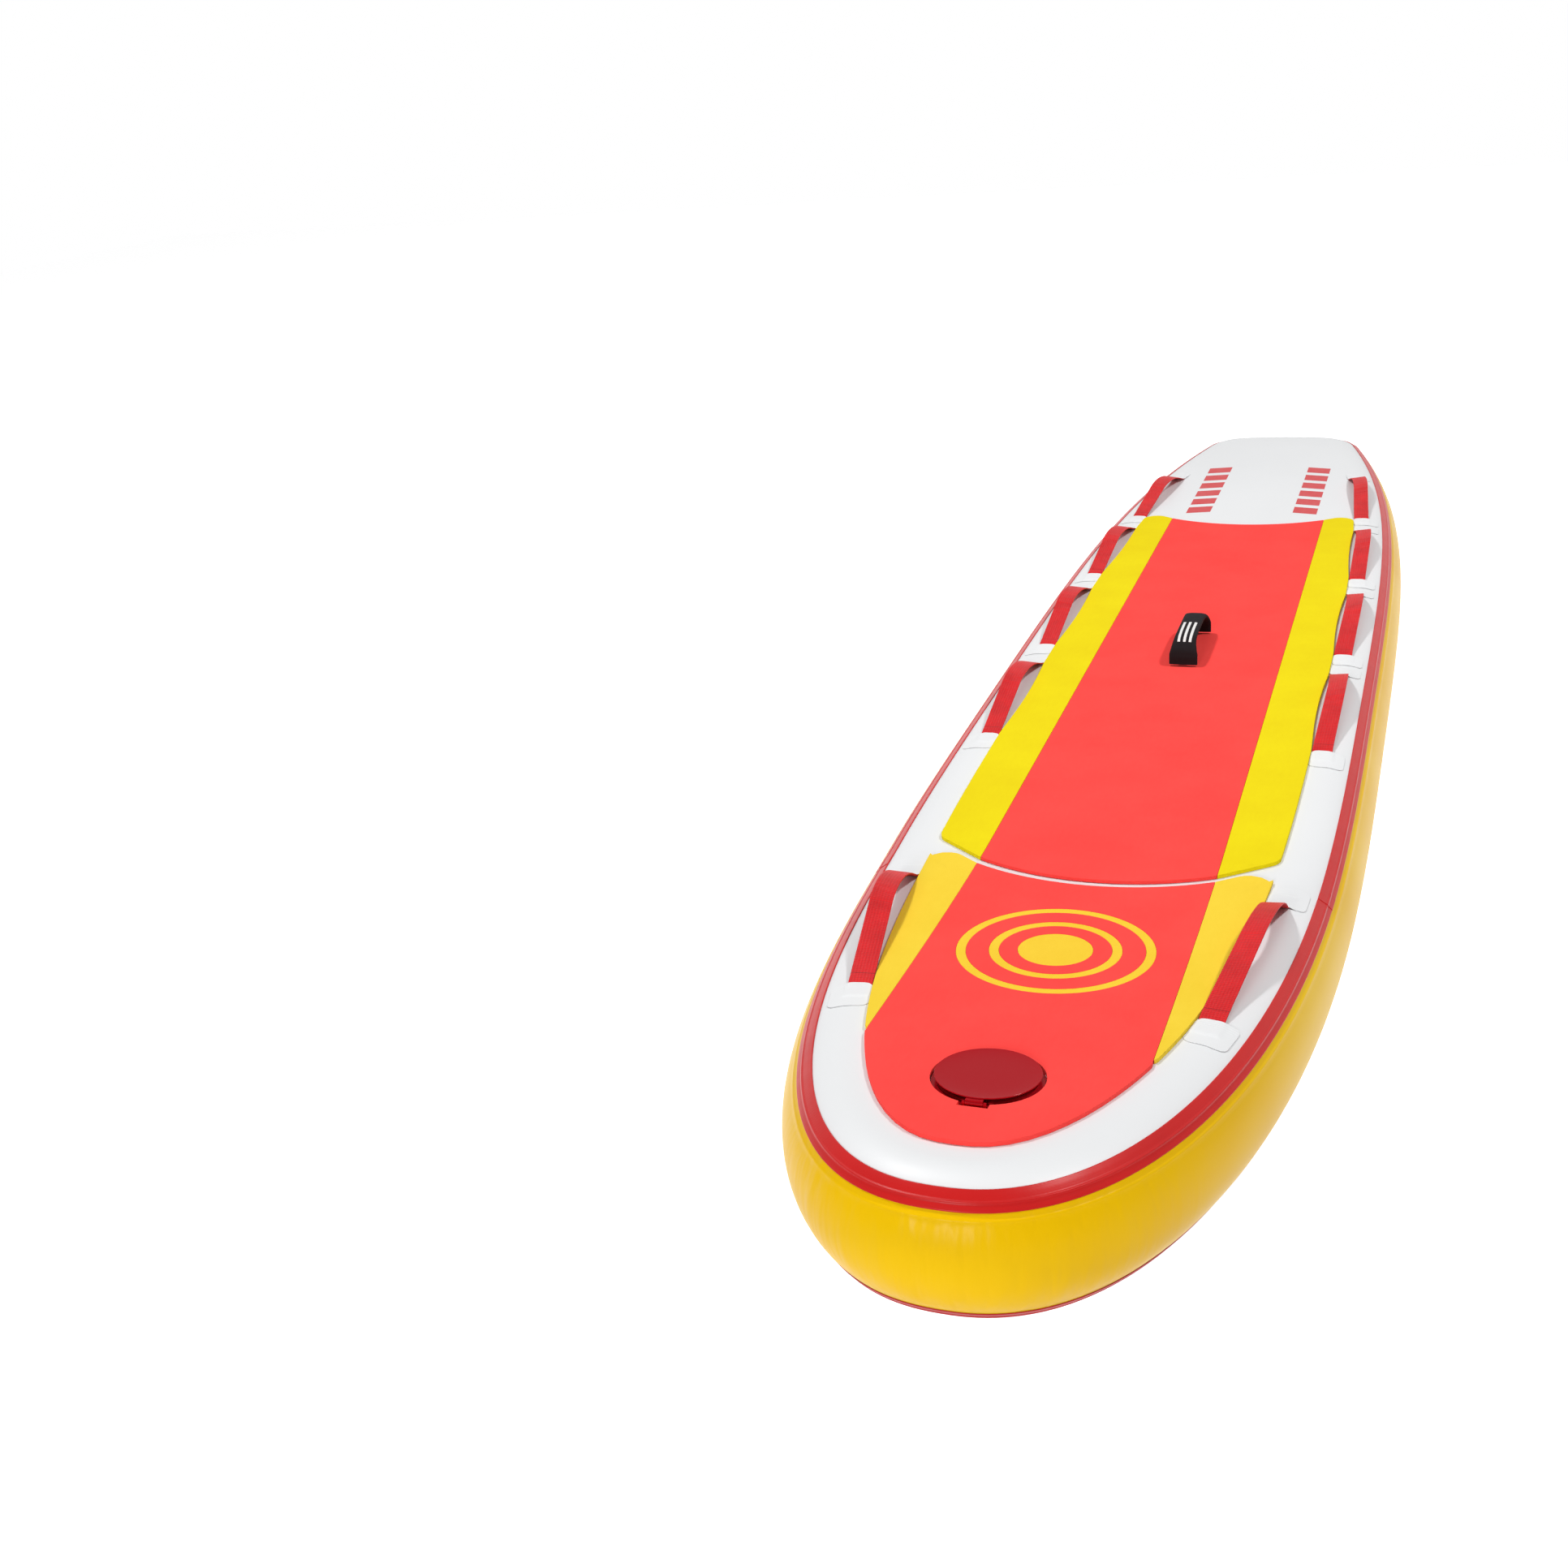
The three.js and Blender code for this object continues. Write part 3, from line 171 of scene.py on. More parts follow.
class Recipe:
    """A material under way, with its node tree, its main shader and its coordinates."""

    def __init__(self, name: str) -> None:
        """Starts an empty node tree.

        Args:
            name: The real material's name.
        """
        self.material = bpy.data.materials.new(name)
        self.material.use_nodes = True
        self.tree = self.material.node_tree
        self.tree.nodes.clear()
        places = self.add("ShaderNodeTexCoord")
        self.here, self.cloth = places.outputs["Object"], places.outputs["UV"]
        self.shader = self.add("ShaderNodeBsdfPrincipled")
        self.add("ShaderNodeOutputMaterial", inputs={"Surface": self.shader.outputs["BSDF"]})

    def add(
        self, kind: str, settings: dict | None = None, inputs: dict | None = None
    ) -> bpy.types.Node:
        """Adds a node to the material, as add_node does."""
        return add_node(self.tree, kind, settings, inputs)

    def noise(
        self, period: float, detail: float, at: Socket | None = None, roughness: float = 0.5
    ) -> Socket:
        """Noise with one cell per period.

        Args:
            period: Size of a cell in metres.
            detail: How many finer layers it has.
            at: Where it is read, on the piece itself unless given.
            roughness: How strong the finer layers are.

        Returns:
            The noise's value.
        """
        where = self.here if at is None else at
        values = {"Vector": where, "Scale": cells(period), "Detail": detail, "Roughness": roughness}
        return self.add("ShaderNodeTexNoise", inputs=values).outputs["Fac"]

    def lines(self, direction: str, pitch: float, **more: float) -> Socket:
        """Fine lines over the cloth's own UV.

        Args:
            direction: The axis across the lines, X or Y.
            pitch: Distance between two lines in metres.
            more: More inputs by name, with spaces as underscores.

        Returns:
            The lines' value.
        """
        values = {"Vector": self.cloth, "Scale": bands(pitch)}
        values.update({key.replace("_", " "): value for key, value in more.items()})
        return self.add("ShaderNodeTexWave", {"bands_direction": direction}, values).outputs["Fac"]

    def reckon(self, operation: str, *values: float | Socket) -> Socket:
        """The result of one math step on values or sockets."""
        settings = {"operation": operation}
        return self.add("ShaderNodeMath", settings, dict(enumerate(values))).outputs[0]

    def ranged(
        self,
        value: Socket,
        start: float = 0.0,
        end: float = 1.0,
        low: float = 0.0,
        high: float = 1.0,
    ) -> Socket:
        """Moves a value from one range to another.

        Args:
            value: The value.
            start: Where its range starts.
            end: Where its range ends.
            low: Where the new range starts.
            high: Where the new range ends.

        Returns:
            The moved value.
        """
        values = {"Value": value, "From Min": start, "From Max": end, "To Min": low, "To Max": high}
        return self.add("ShaderNodeMapRange", inputs=values).outputs["Result"]

    def stretched(self, at: Socket, scale: tuple[float, float, float]) -> Socket:
        """Coordinates scaled along each axis."""
        values = {"Vector": at, "Scale": scale}
        return self.add("ShaderNodeMapping", inputs=values).outputs["Vector"]

    def axis(self, at: Socket, name: str) -> Socket:
        """One axis of some coordinates."""
        return self.add("ShaderNodeSeparateXYZ", inputs={"Vector": at}).outputs[name]

    def tint(self, share: Socket, first: Socket | str, second: str) -> Socket:
        """Mixes two colours.

        Args:
            share: How much of the second there is.
            first: The first colour, a socket or a hex code.
            second: The second colour's hex code.

        Returns:
            The mixed colour.
        """
        start = linear(first) if isinstance(first, str) else first
        values = {"Factor": share, 6: start, 7: linear(second)}
        return self.add("ShaderNodeMix", {"data_type": "RGBA"}, values).outputs[2]

    def bump(
        self, height: Socket, distance: float, over: Socket | None = None, strength: float = 1.0
    ) -> Socket:
        """Relief, on top of an earlier one where there is one.

        Args:
            height: The relief's pattern.
            distance: Its height in metres.
            over: The normal of the earlier relief.
            strength: How much it counts.

        Returns:
            The new normal.
        """
        values = {"Height": height, "Distance": distance, "Strength": strength}
        if over is not None:
            values["Normal"] = over
        return self.add("ShaderNodeBump", inputs=values).outputs["Normal"]

    def shade(self, **inputs: object) -> Material:
        """Sets or links inputs of the main shader.

        Args:
            inputs: Values or sockets by input name, with spaces as underscores.

        Returns:
            The finished material.
        """
        for key, value in inputs.items():
            socket = self.shader.inputs[key.replace("_", " ")]
            if isinstance(value, Socket):
                self.tree.links.new(value, socket)
            else:
                socket.default_value = value
        return self.material


@dataclass(frozen=True)
class CoatedFabric:
    """PVC-coated polyester: a satin skin with a faint scrim and shallow waves from the air."""

    name: str
    color: str
    shadow_color: str
    roughness: float = 0.42
    roughness_spread: float = 0.05
    specular: float = 0.24
    coat: float = 0.03
    coat_roughness: float = 0.3
    cloud_size: float = 0.22
    wave_height: float = 0.0006
    wave_length: float = 0.16
    scrim_pitch: float = 0.0035  # the real scrim has 1 mm threads, drawn coarser to show
    scrim_height: float = 0.00002
    crease_height: float = 0.0  # upright folds where the cloth is drawn round nose and tail
    crease_pitch: float = 0.022
    crease_squeeze: float = 0.06
    crease_start: float = 1.36
    crease_end: float = 1.57

    def build(self) -> Material:
        """Makes the material.

        Returns:
            The finished material.
        """
        recipe = Recipe(self.name)
        cloud = recipe.noise(self.cloud_size, 3.0)
        scrim = recipe.add(
            "ShaderNodeTexVoronoi",
            {"distance": "CHEBYCHEV"},
            {"Vector": recipe.here, "Scale": cells(self.scrim_pitch)},
        )
        waves = recipe.bump(recipe.noise(self.wave_length, 1.5), self.wave_height)
        woven = recipe.bump(scrim.outputs["Distance"], self.scrim_height, waves)
        upright = recipe.stretched(recipe.here, (1.0, 1.0, self.crease_squeeze))
        from_middle = recipe.reckon("ABSOLUTE", recipe.axis(recipe.here, "X"))
        at_ends = recipe.ranged(from_middle, self.crease_start, self.crease_end)
        folds = recipe.reckon("MULTIPLY", recipe.noise(self.crease_pitch, 2.0, upright), at_ends)
        spread = self.roughness_spread
        return recipe.shade(
            Base_Color=recipe.tint(cloud, self.color, self.shadow_color),
            Roughness=recipe.ranged(
                cloud, low=self.roughness - spread, high=self.roughness + spread
            ),
            Normal=recipe.bump(folds, self.crease_height, woven),
            Specular_IOR_Level=self.specular,
            Coat_Weight=self.coat,
            Coat_Roughness=self.coat_roughness,
        )


@dataclass(frozen=True)
class WeldedTape:
    """Heat-welded PVC seam tape: glossier than the skins, with the roller's fine crossed lines."""

    name: str
    color: str
    edge_color: str
    roughness: float = 0.34
    specular: float = 0.17
    roller_pitch: float = 0.0045  # the roller's real 1.5 mm lines, drawn coarser to show
    roller_height: float = 0.00003
    cloud_size: float = 0.07
    cloud_height: float = 0.0008

    def build(self) -> Material:
        """Makes the material.

        Returns:
            The finished material.
        """
        recipe = Recipe(self.name)
        crossed = [recipe.lines(direction, self.roller_pitch) for direction in "YX"]
        rolled = recipe.bump(recipe.reckon("MINIMUM", *crossed), self.roller_height)
        cloud = recipe.noise(self.cloud_size, 4.0)
        return recipe.shade(
            Base_Color=recipe.tint(cloud, self.color, self.edge_color),
            Roughness=self.roughness,
            Specular_IOR_Level=self.specular,
            Normal=recipe.bump(cloud, self.cloud_height, rolled),
        )


@dataclass(frozen=True)
class BrushedFoam:
    """Brushed EVA foam: a dead-matt, slightly fibrous face with a faint mottle."""

    name: str
    color: str
    worn_color: str
    roughness: float = 0.92
    specular: float = 0.08
    sheen: float = 0.02
    sheen_roughness: float = 0.6
    grain: float = 0.0022  # the brushing is finer than 1 mm, drawn coarser to show
    grain_height: float = 0.00018
    grain_strength: float = 0.7
    stroke_width: float = 0.006
    stroke_squeeze: float = 0.35
    stroke_share: float = 0.5
    cloud_size: float = 0.09
    worn_start: float = 0.45
    worn_end: float = 1.05

    def build(self) -> Material:
        """Makes the material.

        Returns:
            The finished material.
        """
        recipe = Recipe(self.name)
        brushed = recipe.stretched(recipe.here, (self.stroke_squeeze, 1.0, 1.0))
        strokes = recipe.noise(self.stroke_width, 6.0, brushed, 0.7)
        cloud = recipe.noise(self.cloud_size, 4.0)
        blend = recipe.reckon("MULTIPLY_ADD", strokes, self.stroke_share, cloud)
        worn = recipe.ranged(blend, self.worn_start, self.worn_end)
        grain = recipe.noise(self.grain, 5.0)
        return recipe.shade(
            Base_Color=recipe.tint(worn, self.color, self.worn_color),
            Roughness=self.roughness,
            Specular_IOR_Level=self.specular,
            Normal=recipe.bump(grain, self.grain_height, strength=self.grain_strength),
            Sheen_Weight=self.sheen,
            Sheen_Roughness=self.sheen_roughness,
        )


@dataclass(frozen=True)
class Webbing:
    """Woven polyester webbing: ribs across it, long warp lines, a sewn line and slight gathers."""

    name: str
    color: str
    # painted shade: the second colour darkens the weave's low grooves, and a random cloud also
    # varies the tone
    mottle_and_groove_shade_color: str
    thread_color: str
    roughness: float = 0.5
    specular: float = 0.16
    sheen: float = 0.02
    sheen_roughness: float = 0.4
    rib_pitch: float = 0.0032  # the real weave has 1.6 mm ribs, drawn twice as coarse to show
    rib_height: float = 0.00028
    rib_strength: float = 0.8
    warp_pitch: float = 0.0036
    warp_share: float = 0.55
    cloud_size: float = 0.03
    # share of the weave in the darkening, which is painted shade in its grooves
    groove_shade_weight: float = -0.35
    dark_start: float = -0.1
    dark_end: float = 0.7
    seam_at: float = 0.0475
    seam_width: float = 0.0007
    seam_depth: float = -1.2
    gather_width: float = 0.012
    gather_squeeze: float = 0.2
    gather_height: float = 0.0016
    gather_start: float = 0.09
    gather_end: float = 0.17

    def build(self) -> Material:
        """Makes the material.

        Returns:
            The finished material.
        """
        recipe = Recipe(self.name)
        ribs = recipe.lines("Y", self.rib_pitch, Distortion=0.6, Detail=2.0, Detail_Scale=3.0)
        warps = recipe.lines("X", self.warp_pitch)
        weave = recipe.reckon("MULTIPLY_ADD", warps, self.warp_share, ribs)
        cloud = recipe.noise(self.cloud_size, 3.0)
        # painted shade: the weave's low grooves are coloured darker, over a random darker cloud
        depth = recipe.reckon("MULTIPLY_ADD", weave, self.groove_shade_weight, cloud)
        dark = recipe.ranged(depth, self.dark_start, self.dark_end)
        run = recipe.axis(recipe.cloth, "Y")
        sewn = recipe.reckon("COMPARE", run, self.seam_at, self.seam_width)
        lying = recipe.reckon("MULTIPLY_ADD", sewn, self.seam_depth, weave)
        woven = recipe.bump(lying, self.rib_height, strength=self.rib_strength)
        drawn = recipe.stretched(recipe.cloth, (self.gather_squeeze, 1.0, 1.0))
        in_middle = recipe.ranged(run, self.gather_start, self.gather_end)
        gathers = recipe.reckon("MULTIPLY", recipe.noise(self.gather_width, 2.0, drawn), in_middle)
        plain = recipe.tint(dark, self.color, self.mottle_and_groove_shade_color)
        return recipe.shade(
            Base_Color=recipe.tint(sewn, plain, self.thread_color),
            Roughness=self.roughness,
            Specular_IOR_Level=self.specular,
            Normal=recipe.bump(gathers, self.gather_height, woven),
            Sheen_Weight=self.sheen,
            Sheen_Roughness=self.sheen_roughness,
        )


@dataclass(frozen=True)
class MouldedPlastic:
    """Injection-moulded or cast plastic: an even colour, a light moulded grain and soft gloss."""

    name: str
    color: str
    roughness: float
    grain: float = 0.0015
    grain_height: float = 0.00003
    specular: float = 0.4
    mark_size: float = 0.02
    smooth_share: float = 0.8
    rough_share: float = 1.25

    def build(self) -> Material:
        """Makes the material.

        Returns:
            The finished material.
        """
        recipe = Recipe(self.name)
        marks = recipe.noise(self.mark_size, 5.0)
        smooth, rough = self.roughness * self.smooth_share, self.roughness * self.rough_share
        return recipe.shade(
            Base_Color=linear(self.color),
            Roughness=recipe.ranged(marks, low=smooth, high=rough),
            Specular_IOR_Level=self.specular,
            Normal=recipe.bump(recipe.noise(self.grain, 2.0), self.grain_height),
        )


@dataclass(frozen=True)
class SpringSteel:
    """Drawn stainless wire: bright grey metal with fine marks."""

    name: str
    color: str
    mark_size: float = 0.002
    smooth: float = 0.25
    rough: float = 0.4

    def build(self) -> Material:
        """Makes the material.

        Returns:
            The finished material.
        """
        recipe = Recipe(self.name)
        marks = recipe.noise(self.mark_size, 4.0)
        return recipe.shade(
            Base_Color=linear(self.color),
            Metallic=1.0,
            Roughness=recipe.ranged(marks, low=self.smooth, high=self.rough),
        )


@dataclass(frozen=True)
class StudioPaper:
    """Matt white paper that also glows for the camera, so that it stays white under soft light."""

    name: str = "white_studio_paper"
    color: str = "#F7F7F7"
    roughness: float = 0.9
    specular: float = 0.1
    glow: float = 0.75

    def build(self) -> Material:
        """Makes the material.

        Returns:
            The finished material.
        """
        recipe = Recipe(self.name)
        return recipe.shade(
            Base_Color=linear(self.color),
            Roughness=self.roughness,
            Specular_IOR_Level=self.specular,
            Emission_Color=(1, 1, 1, 1),
            Emission_Strength=recipe.reckon("MULTIPLY", seen_ray(recipe.tree), self.glow),
        )


def made(kind: type, *values: object, **more: object) -> Material:
    """A field whose material is made together with the others, from a kind of finish."""
    return field(default_factory=kind(*values, **more).build)


@dataclass
class Finishes:
    """All materials of the board, each made once."""

    deck: Material = made(CoatedFabric, "pvc_coated_fabric_white", "#E3E4E5", "#DEDFE0")
    core: Material = made(CoatedFabric, "drop_stitch_fabric", "#D8D8D4", "#CFCFCB", roughness=0.7)
    rail: Material = made(
        CoatedFabric,
        "pvc_coated_fabric_yellow",
        "#EAC000",
        "#E0AB00",
        roughness=0.36,
        wave_height=0.0012,
        crease_height=0.0030,
        specular=0.08,
        coat=0.0,
    )
    tape: Material = made(WeldedTape, "welded_pvc_tape_red", "#C81B19", "#B51516")
    bottom_tape: Material = made(WeldedTape, "welded_pvc_tape_dark_red", "#B92225", "#A51C20")
    red_foam: Material = made(BrushedFoam, "brushed_eva_foam_red", "#FF4C47", "#FA4440")
    yellow_foam: Material = made(BrushedFoam, "brushed_eva_foam_yellow", "#EAD70A", "#E3CC06")
    nose_yellow_foam: Material = made(
        BrushedFoam, "brushed_eva_foam_warm_yellow", "#F1D03C", "#EBC730"
    )
    amber_foam: Material = made(BrushedFoam, "brushed_eva_foam_amber", "#F2CC3A", "#ECC22E")
    # painted shade: the webbing's second colour darkens the weave's grooves, mixed with random
    # darker tone
    webbing: Material = made(Webbing, "polyester_webbing_red", "#D71B20", "#AE1015", "#9A0D12")
    sleeve: Material = made(
        BrushedFoam,
        "neoprene_sleeve_black",
        "#262224",
        "#1B181A",
        grain=0.0016,
        grain_height=0.0001,
    )
    patch: Material = made(
        CoatedFabric,
        "pvc_coated_patch_white",
        "#E4E5E6",
        "#DEDFE0",
        roughness=0.36,
        wave_height=0.0003,
        wave_length=0.03,
    )
    print_red: Material = made(MouldedPlastic, "screen_ink_red", "#C4262B", 0.45)
    print_pale: Material = made(MouldedPlastic, "screen_ink_pale", "#DCDAD8", 0.5)
    cover: Material = made(
        MouldedPlastic, "cast_polyurethane_red", "#A3101A", 0.2, grain_height=0.00001, specular=0.04
    )
    black_plastic: Material = made(MouldedPlastic, "moulded_nylon_black", "#232325", 0.45)
    gray_plastic: Material = made(MouldedPlastic, "moulded_nylon_gray", "#8D9094", 0.4)
    steel: Material = made(SpringSteel, "stainless_spring_wire", "#B9BCC0")


def running_lengths(points: Sequence[Vector]) -> list[float]:
    """Distances along a line of points from its first point.

    Args:
        points: The line's points in order.

    Returns:
        One distance for each point.
    """
    lengths = [0.0]
    for before, after in zip(points, points[1:]):
        lengths.append(lengths[-1] + (after - before).length)
    return lengths


def smooth_line(keys: Sequence[Vector], steps: int) -> Row:
    """A smooth curve through points, with Bezier handles along each point's neighbours.

    Args:
        keys: The points the curve passes.
        steps: Pieces between two points.

    Returns:
        The curve's points.
    """
    line: Row = [keys[0].copy()]
    for i in range(len(keys) - 1):
        near, far = keys[i], keys[i + 1]
        reach = (far - near).length / 3
        before = keys[i - 1] if i else near
        after = keys[i + 2] if i + 2 < len(keys) else far
        first = near + (far - before).normalized() * reach
        second = far - (after - near).normalized() * reach
        for k in range(1, steps + 1):
            t = k / steps
            s = 1 - t
            line.append(s**3 * near + 3 * s * s * t * first + 3 * s * t * t * second + t**3 * far)
    return line


def finish_mesh(bm: Mesh, name: str, sharp: float = SHARP_EDGE) -> Piece:
    """Turns a bmesh into an object in the scene.

    Args:
        bm: The mesh, which is freed.
        name: The piece's name.
        sharp: Angle in degrees above which an edge stays sharp.

    Returns:
        The new object.
    """
    mesh = bpy.data.meshes.new(name)
    for face in bm.faces:
        face.smooth = True
    bm.to_mesh(mesh)
    bm.free()
    mesh.set_sharp_from_angle(angle=math.radians(sharp))
    piece = bpy.data.objects.new(name, mesh)
    bpy.context.scene.collection.objects.link(piece)
    return piece


def loft_into(bm: Mesh, rows: Sequence[Row], facing: Facing, wall: float = 0.0) -> None:
    """Adds a skin through rows of points to a mesh, with UVs in metres.

    Args:
        bm: The mesh to add to.
        rows: Rows with the same number of points.
        facing: Which way the skin looks.
        wall: Thickness that grows behind the skin.
    """
    layer = bm.loops.layers.uv.verify()
    wide, high = len(rows) - 1, len(rows[0]) - 1
    along = running_lengths([row[high // 4] for row in rows])
    across = running_lengths(rows[wide // 2])
    grid = bmesh.ops.create_grid(bm, x_segments=wide, y_segments=high, size=0.5)
    spots = {}
    for v in grid["verts"]:
        spots[v] = (round((v.co.x + 0.5) * wide), round((v.co.y + 0.5) * high))
    faces = list({f for v in spots for f in v.link_faces})
    for face in faces:
        for loop in face.loops:
            i, j = spots[loop.vert]
            loop[layer].uv = (across[j], along[i])
    for vertex, (i, j) in spots.items():
        vertex.co = rows[i][j]
    bmesh.ops.remove_doubles(bm, verts=list(spots), dist=MERGE_DISTANCE)
    faces = [f for f in faces if f.is_valid]
    thin = list({e for f in faces for e in f.edges})
    bmesh.ops.dissolve_degenerate(bm, dist=SHORT_EDGE, edges=thin)
    faces = [f for f in faces if f.is_valid]
    open_edges = [e for e in {e for f in faces for e in f.edges} if e.is_boundary]
    if facing is Facing.CLOSED:
        if open_edges:
            faces += bmesh.ops.holes_fill(bm, edges=open_edges, sides=0)["faces"]
        bmesh.ops.recalc_face_normals(bm, faces=faces)
        return
    for face in faces:
        face.normal_update()
    if sum(f.normal.z * f.calc_area() for f in faces) * facing.value < 0:
        bmesh.ops.reverse_faces(bm, faces=faces)
    if wall:
        grown = bmesh.ops.extrude_face_region(bm, geom=faces, use_keep_orig=True)["geom"]
        under = [v for v in grown if isinstance(v, bmesh.types.BMVert)]
        bmesh.ops.translate(bm, verts=under, vec=(0, 0, -wall * facing.value))
        shell = {f for v in under for f in v.link_faces} | set(faces)
        bmesh.ops.recalc_face_normals(bm, faces=list(shell))


def lofted(
    name: str, rows: Sequence[Row], facing: Facing, wall: float = 0.0, sharp: float = SHARP_EDGE
) -> Piece:
    """Makes a piece that is one skin through rows of points.

    Args:
        name: The piece's name.
        rows: Rows with the same number of points.
        facing: Which way the skin looks.
        wall: Thickness that grows behind the skin.
        sharp: Angle in degrees above which an edge stays sharp.

    Returns:
        The new object.
    """
    bm = bmesh.new()
    loft_into(bm, rows, facing, wall)
    return finish_mesh(bm, name, sharp)


def soften(piece: Piece, width: float, steps: int = 2, sharp: float = 50.0) -> None:
    """Rounds a piece's sharp edges with a bevel.

    Args:
        piece: The object.
        width: How far the bevel reaches.
        steps: Faces across the bevel.
        sharp: Edges sharper than this many degrees are rounded.
    """
    bevel = piece.modifiers.new("soft_edges", "BEVEL")
    bevel.width = width
    bevel.segments = steps
    bevel.limit_method = "ANGLE"
    bevel.angle_limit = math.radians(sharp)
    bevel.harden_normals = False


def dress(piece: Piece, material: Material, slot: str, body: str | None, *nodes: str) -> None:
    """Gives a new piece its finish, its body and the CAD nodes that it stands for.

    Args:
        piece: The object.
        material: Its finish.
        slot: The record's material slot; not used.
        body: The CAD body it rides on, or nothing for a piece between two bodies, which stays
            unattached.
        nodes: The CAD nodes that it replaces.
    """
    piece.data.materials.clear()
    piece.data.materials.append(material)
    if nodes:
        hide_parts(*nodes)
    if body:
        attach(piece, body)
    log.info("piece %s, %d faces", piece.name, len(piece.data.polygons))


@dataclass(frozen=True)
class Station:
    """A point of the seam line in plan with its outward normal."""

    x: float
    y: float
    nx: float
    ny: float


@dataclass
class HullForm:
    """The air-filled body's outline, rail section and rocker, which all other pieces follow."""

    half_length: float = 1.563
    half_width: float = 0.2805
    thickness: float = 0.150
    rail_reach: float = 0.072
    flat_reach: float = 0.035
    widest: float = 0.210
    nose_length_power: float = 3.255
    nose_width_power: float = 2.277
    tail_power: float = 3.51
    tail_half_width: float = 0.141
    tail_corner: float = 0.084
    tail_crown: float = 0.008
    rocker_start: float = 0.760
    rocker_rise: float = 0.067
    rocker_power: float = 1.5
    nose_sag: float = 0.012
    board_half: float = 1.600
    nose_steps: int = 72
    side_steps: int = 84
    corner_steps: int = 14
    corner_rounds: int = 8
    tail_steps: int = 10
    slope_step: float = 0.0003
    outline: list[Station] = field(init=False)
    ring: list[Station] = field(init=False)

    def __post_init__(self) -> None:
        """Works out the outline once."""
        self.outline = [*self.nose_outline(), *self.tail_outline()]
        mirrored = [Station(s.x, -s.y, s.nx, -s.ny) for s in reversed(self.outline[1:-1])]
        self.ring = [*self.outline, *mirrored, self.outline[0]]

    def seam_half(self, x: float) -> float:
        """Half the width between the seam lines at a station.

        Args:
            x: The station.

        Returns:
            The seam line's distance from the middle.
        """
        if x >= self.widest:
            along = (x - self.widest) / (self.half_length - self.widest)
            share = max(1 - along**self.nose_length_power, 0.0)
            return self.half_width * share ** (1 / self.nose_width_power)
        along = (self.widest - x) / (self.widest + self.half_length)
        return self.half_width - (self.half_width - self.tail_half_width) * along**self.tail_power

    def seam(self, x: float) -> Station:
        """The seam line's point and normal at a station on the port side.

        Args:
            x: The station.

        Returns:
            The point with its normal.
        """
        step = self.slope_step
        slope = (self.seam_half(x + step) - self.seam_half(x - step)) / (2 * step)
        size = math.hypot(slope, 1)
        return Station(x, self.seam_half(x), -slope / size, 1 / size)

    def nose_outline(self) -> list[Station]:
        """Plan points from the nose's tip along the port side, up to the widest station.

        Returns:
            The stations in order.
        """
        points: list[Spot] = []
        for i in range(self.nose_steps + 1):
            angle = math.pi / 2 * (1 - i / self.nose_steps)
            along = math.sin(angle) ** (2 / self.nose_length_power)
            across = max(math.cos(angle), 0.0) ** (2 / self.nose_width_power)
            x = self.widest + (self.half_length - self.widest) * along
            points.append((x, self.half_width * across if i else 0.0))
        stations = [Station(*points[0], 1.0, 0.0)]
        for before, here, after in zip(points, points[1:], points[2:]):
            run, rise = after[0] - before[0], after[1] - before[1]
            size = math.hypot(run, rise)
            stations.append(Station(*here, rise / size, -run / size))
        return stations

    def tail_outline(self) -> list[Station]:
        """Plan points from the widest station along the port side to the tail's middle.

        Returns:
            The stations in order.
        """
        radius, edge = self.tail_corner, self.tail_crown - self.half_length
        side_end, tilt, last = edge, 0.0, self.tail_half_width
        for _ in range(self.corner_rounds):  # the arc meets the side and the tail edge smoothly
            start = self.seam(side_end)
            center = (edge + radius * math.cos(tilt), start.y - radius * start.ny)
            side_end = center[0] + radius * start.nx
            last = center[1] + radius * math.sin(tilt)
            tilt = math.atan(2 * self.tail_crown / last)
        stations = []
        for i in range(self.side_steps):
            share = math.sin(math.pi / 2 * i / self.side_steps)
            stations.append(self.seam(self.widest + (side_end - self.widest) * share))
        first_angle = math.atan2(start.ny, start.nx)
        for i in range(self.corner_steps + 1):
            angle = first_angle + (math.pi - tilt - first_angle) * i / self.corner_steps
            nx, ny = math.cos(angle), math.sin(angle)
            stations.append(Station(center[0] + radius * nx, center[1] + radius * ny, nx, ny))
        for i in range(1, self.tail_steps + 1):
            share = 1 - i / self.tail_steps
            bulge = 2 * self.tail_crown * share / last
            size = math.hypot(bulge, 1)
            x = self.tail_crown * share**2 - self.half_length
            stations.append(Station(x, last * share, -1 / size, bulge / size))
        return stations

    def rocker(self, x: float) -> float:
        """How far the hull has lifted at a station."""
        past = max(x - self.rocker_start, 0.0) / (self.board_half - self.rocker_start)
        return self.rocker_rise * past**self.rocker_power

    def section(self, angle: float, depth: float) -> Spot:
        """A point of the rail's section, sunk below the outer surface.

        Args:
            angle: Angle from straight up.
            depth: How deep the point is sunk.

        Returns:
            The distance out from the seam line and the height.
        """
        half = self.thickness / 2
        normal = Vector((math.sin(angle) / self.rail_reach, math.cos(angle) / half)).normalized()
        return (
            self.rail_reach * math.sin(angle) - self.flat_reach - depth * normal.x,
            half + half * math.cos(angle) - depth * normal.y,
        )

    def angle_at(self, out: float) -> float:
        """The section's angle at a distance out from the seam line."""
        return math.asin((out + self.flat_reach) / self.rail_reach)

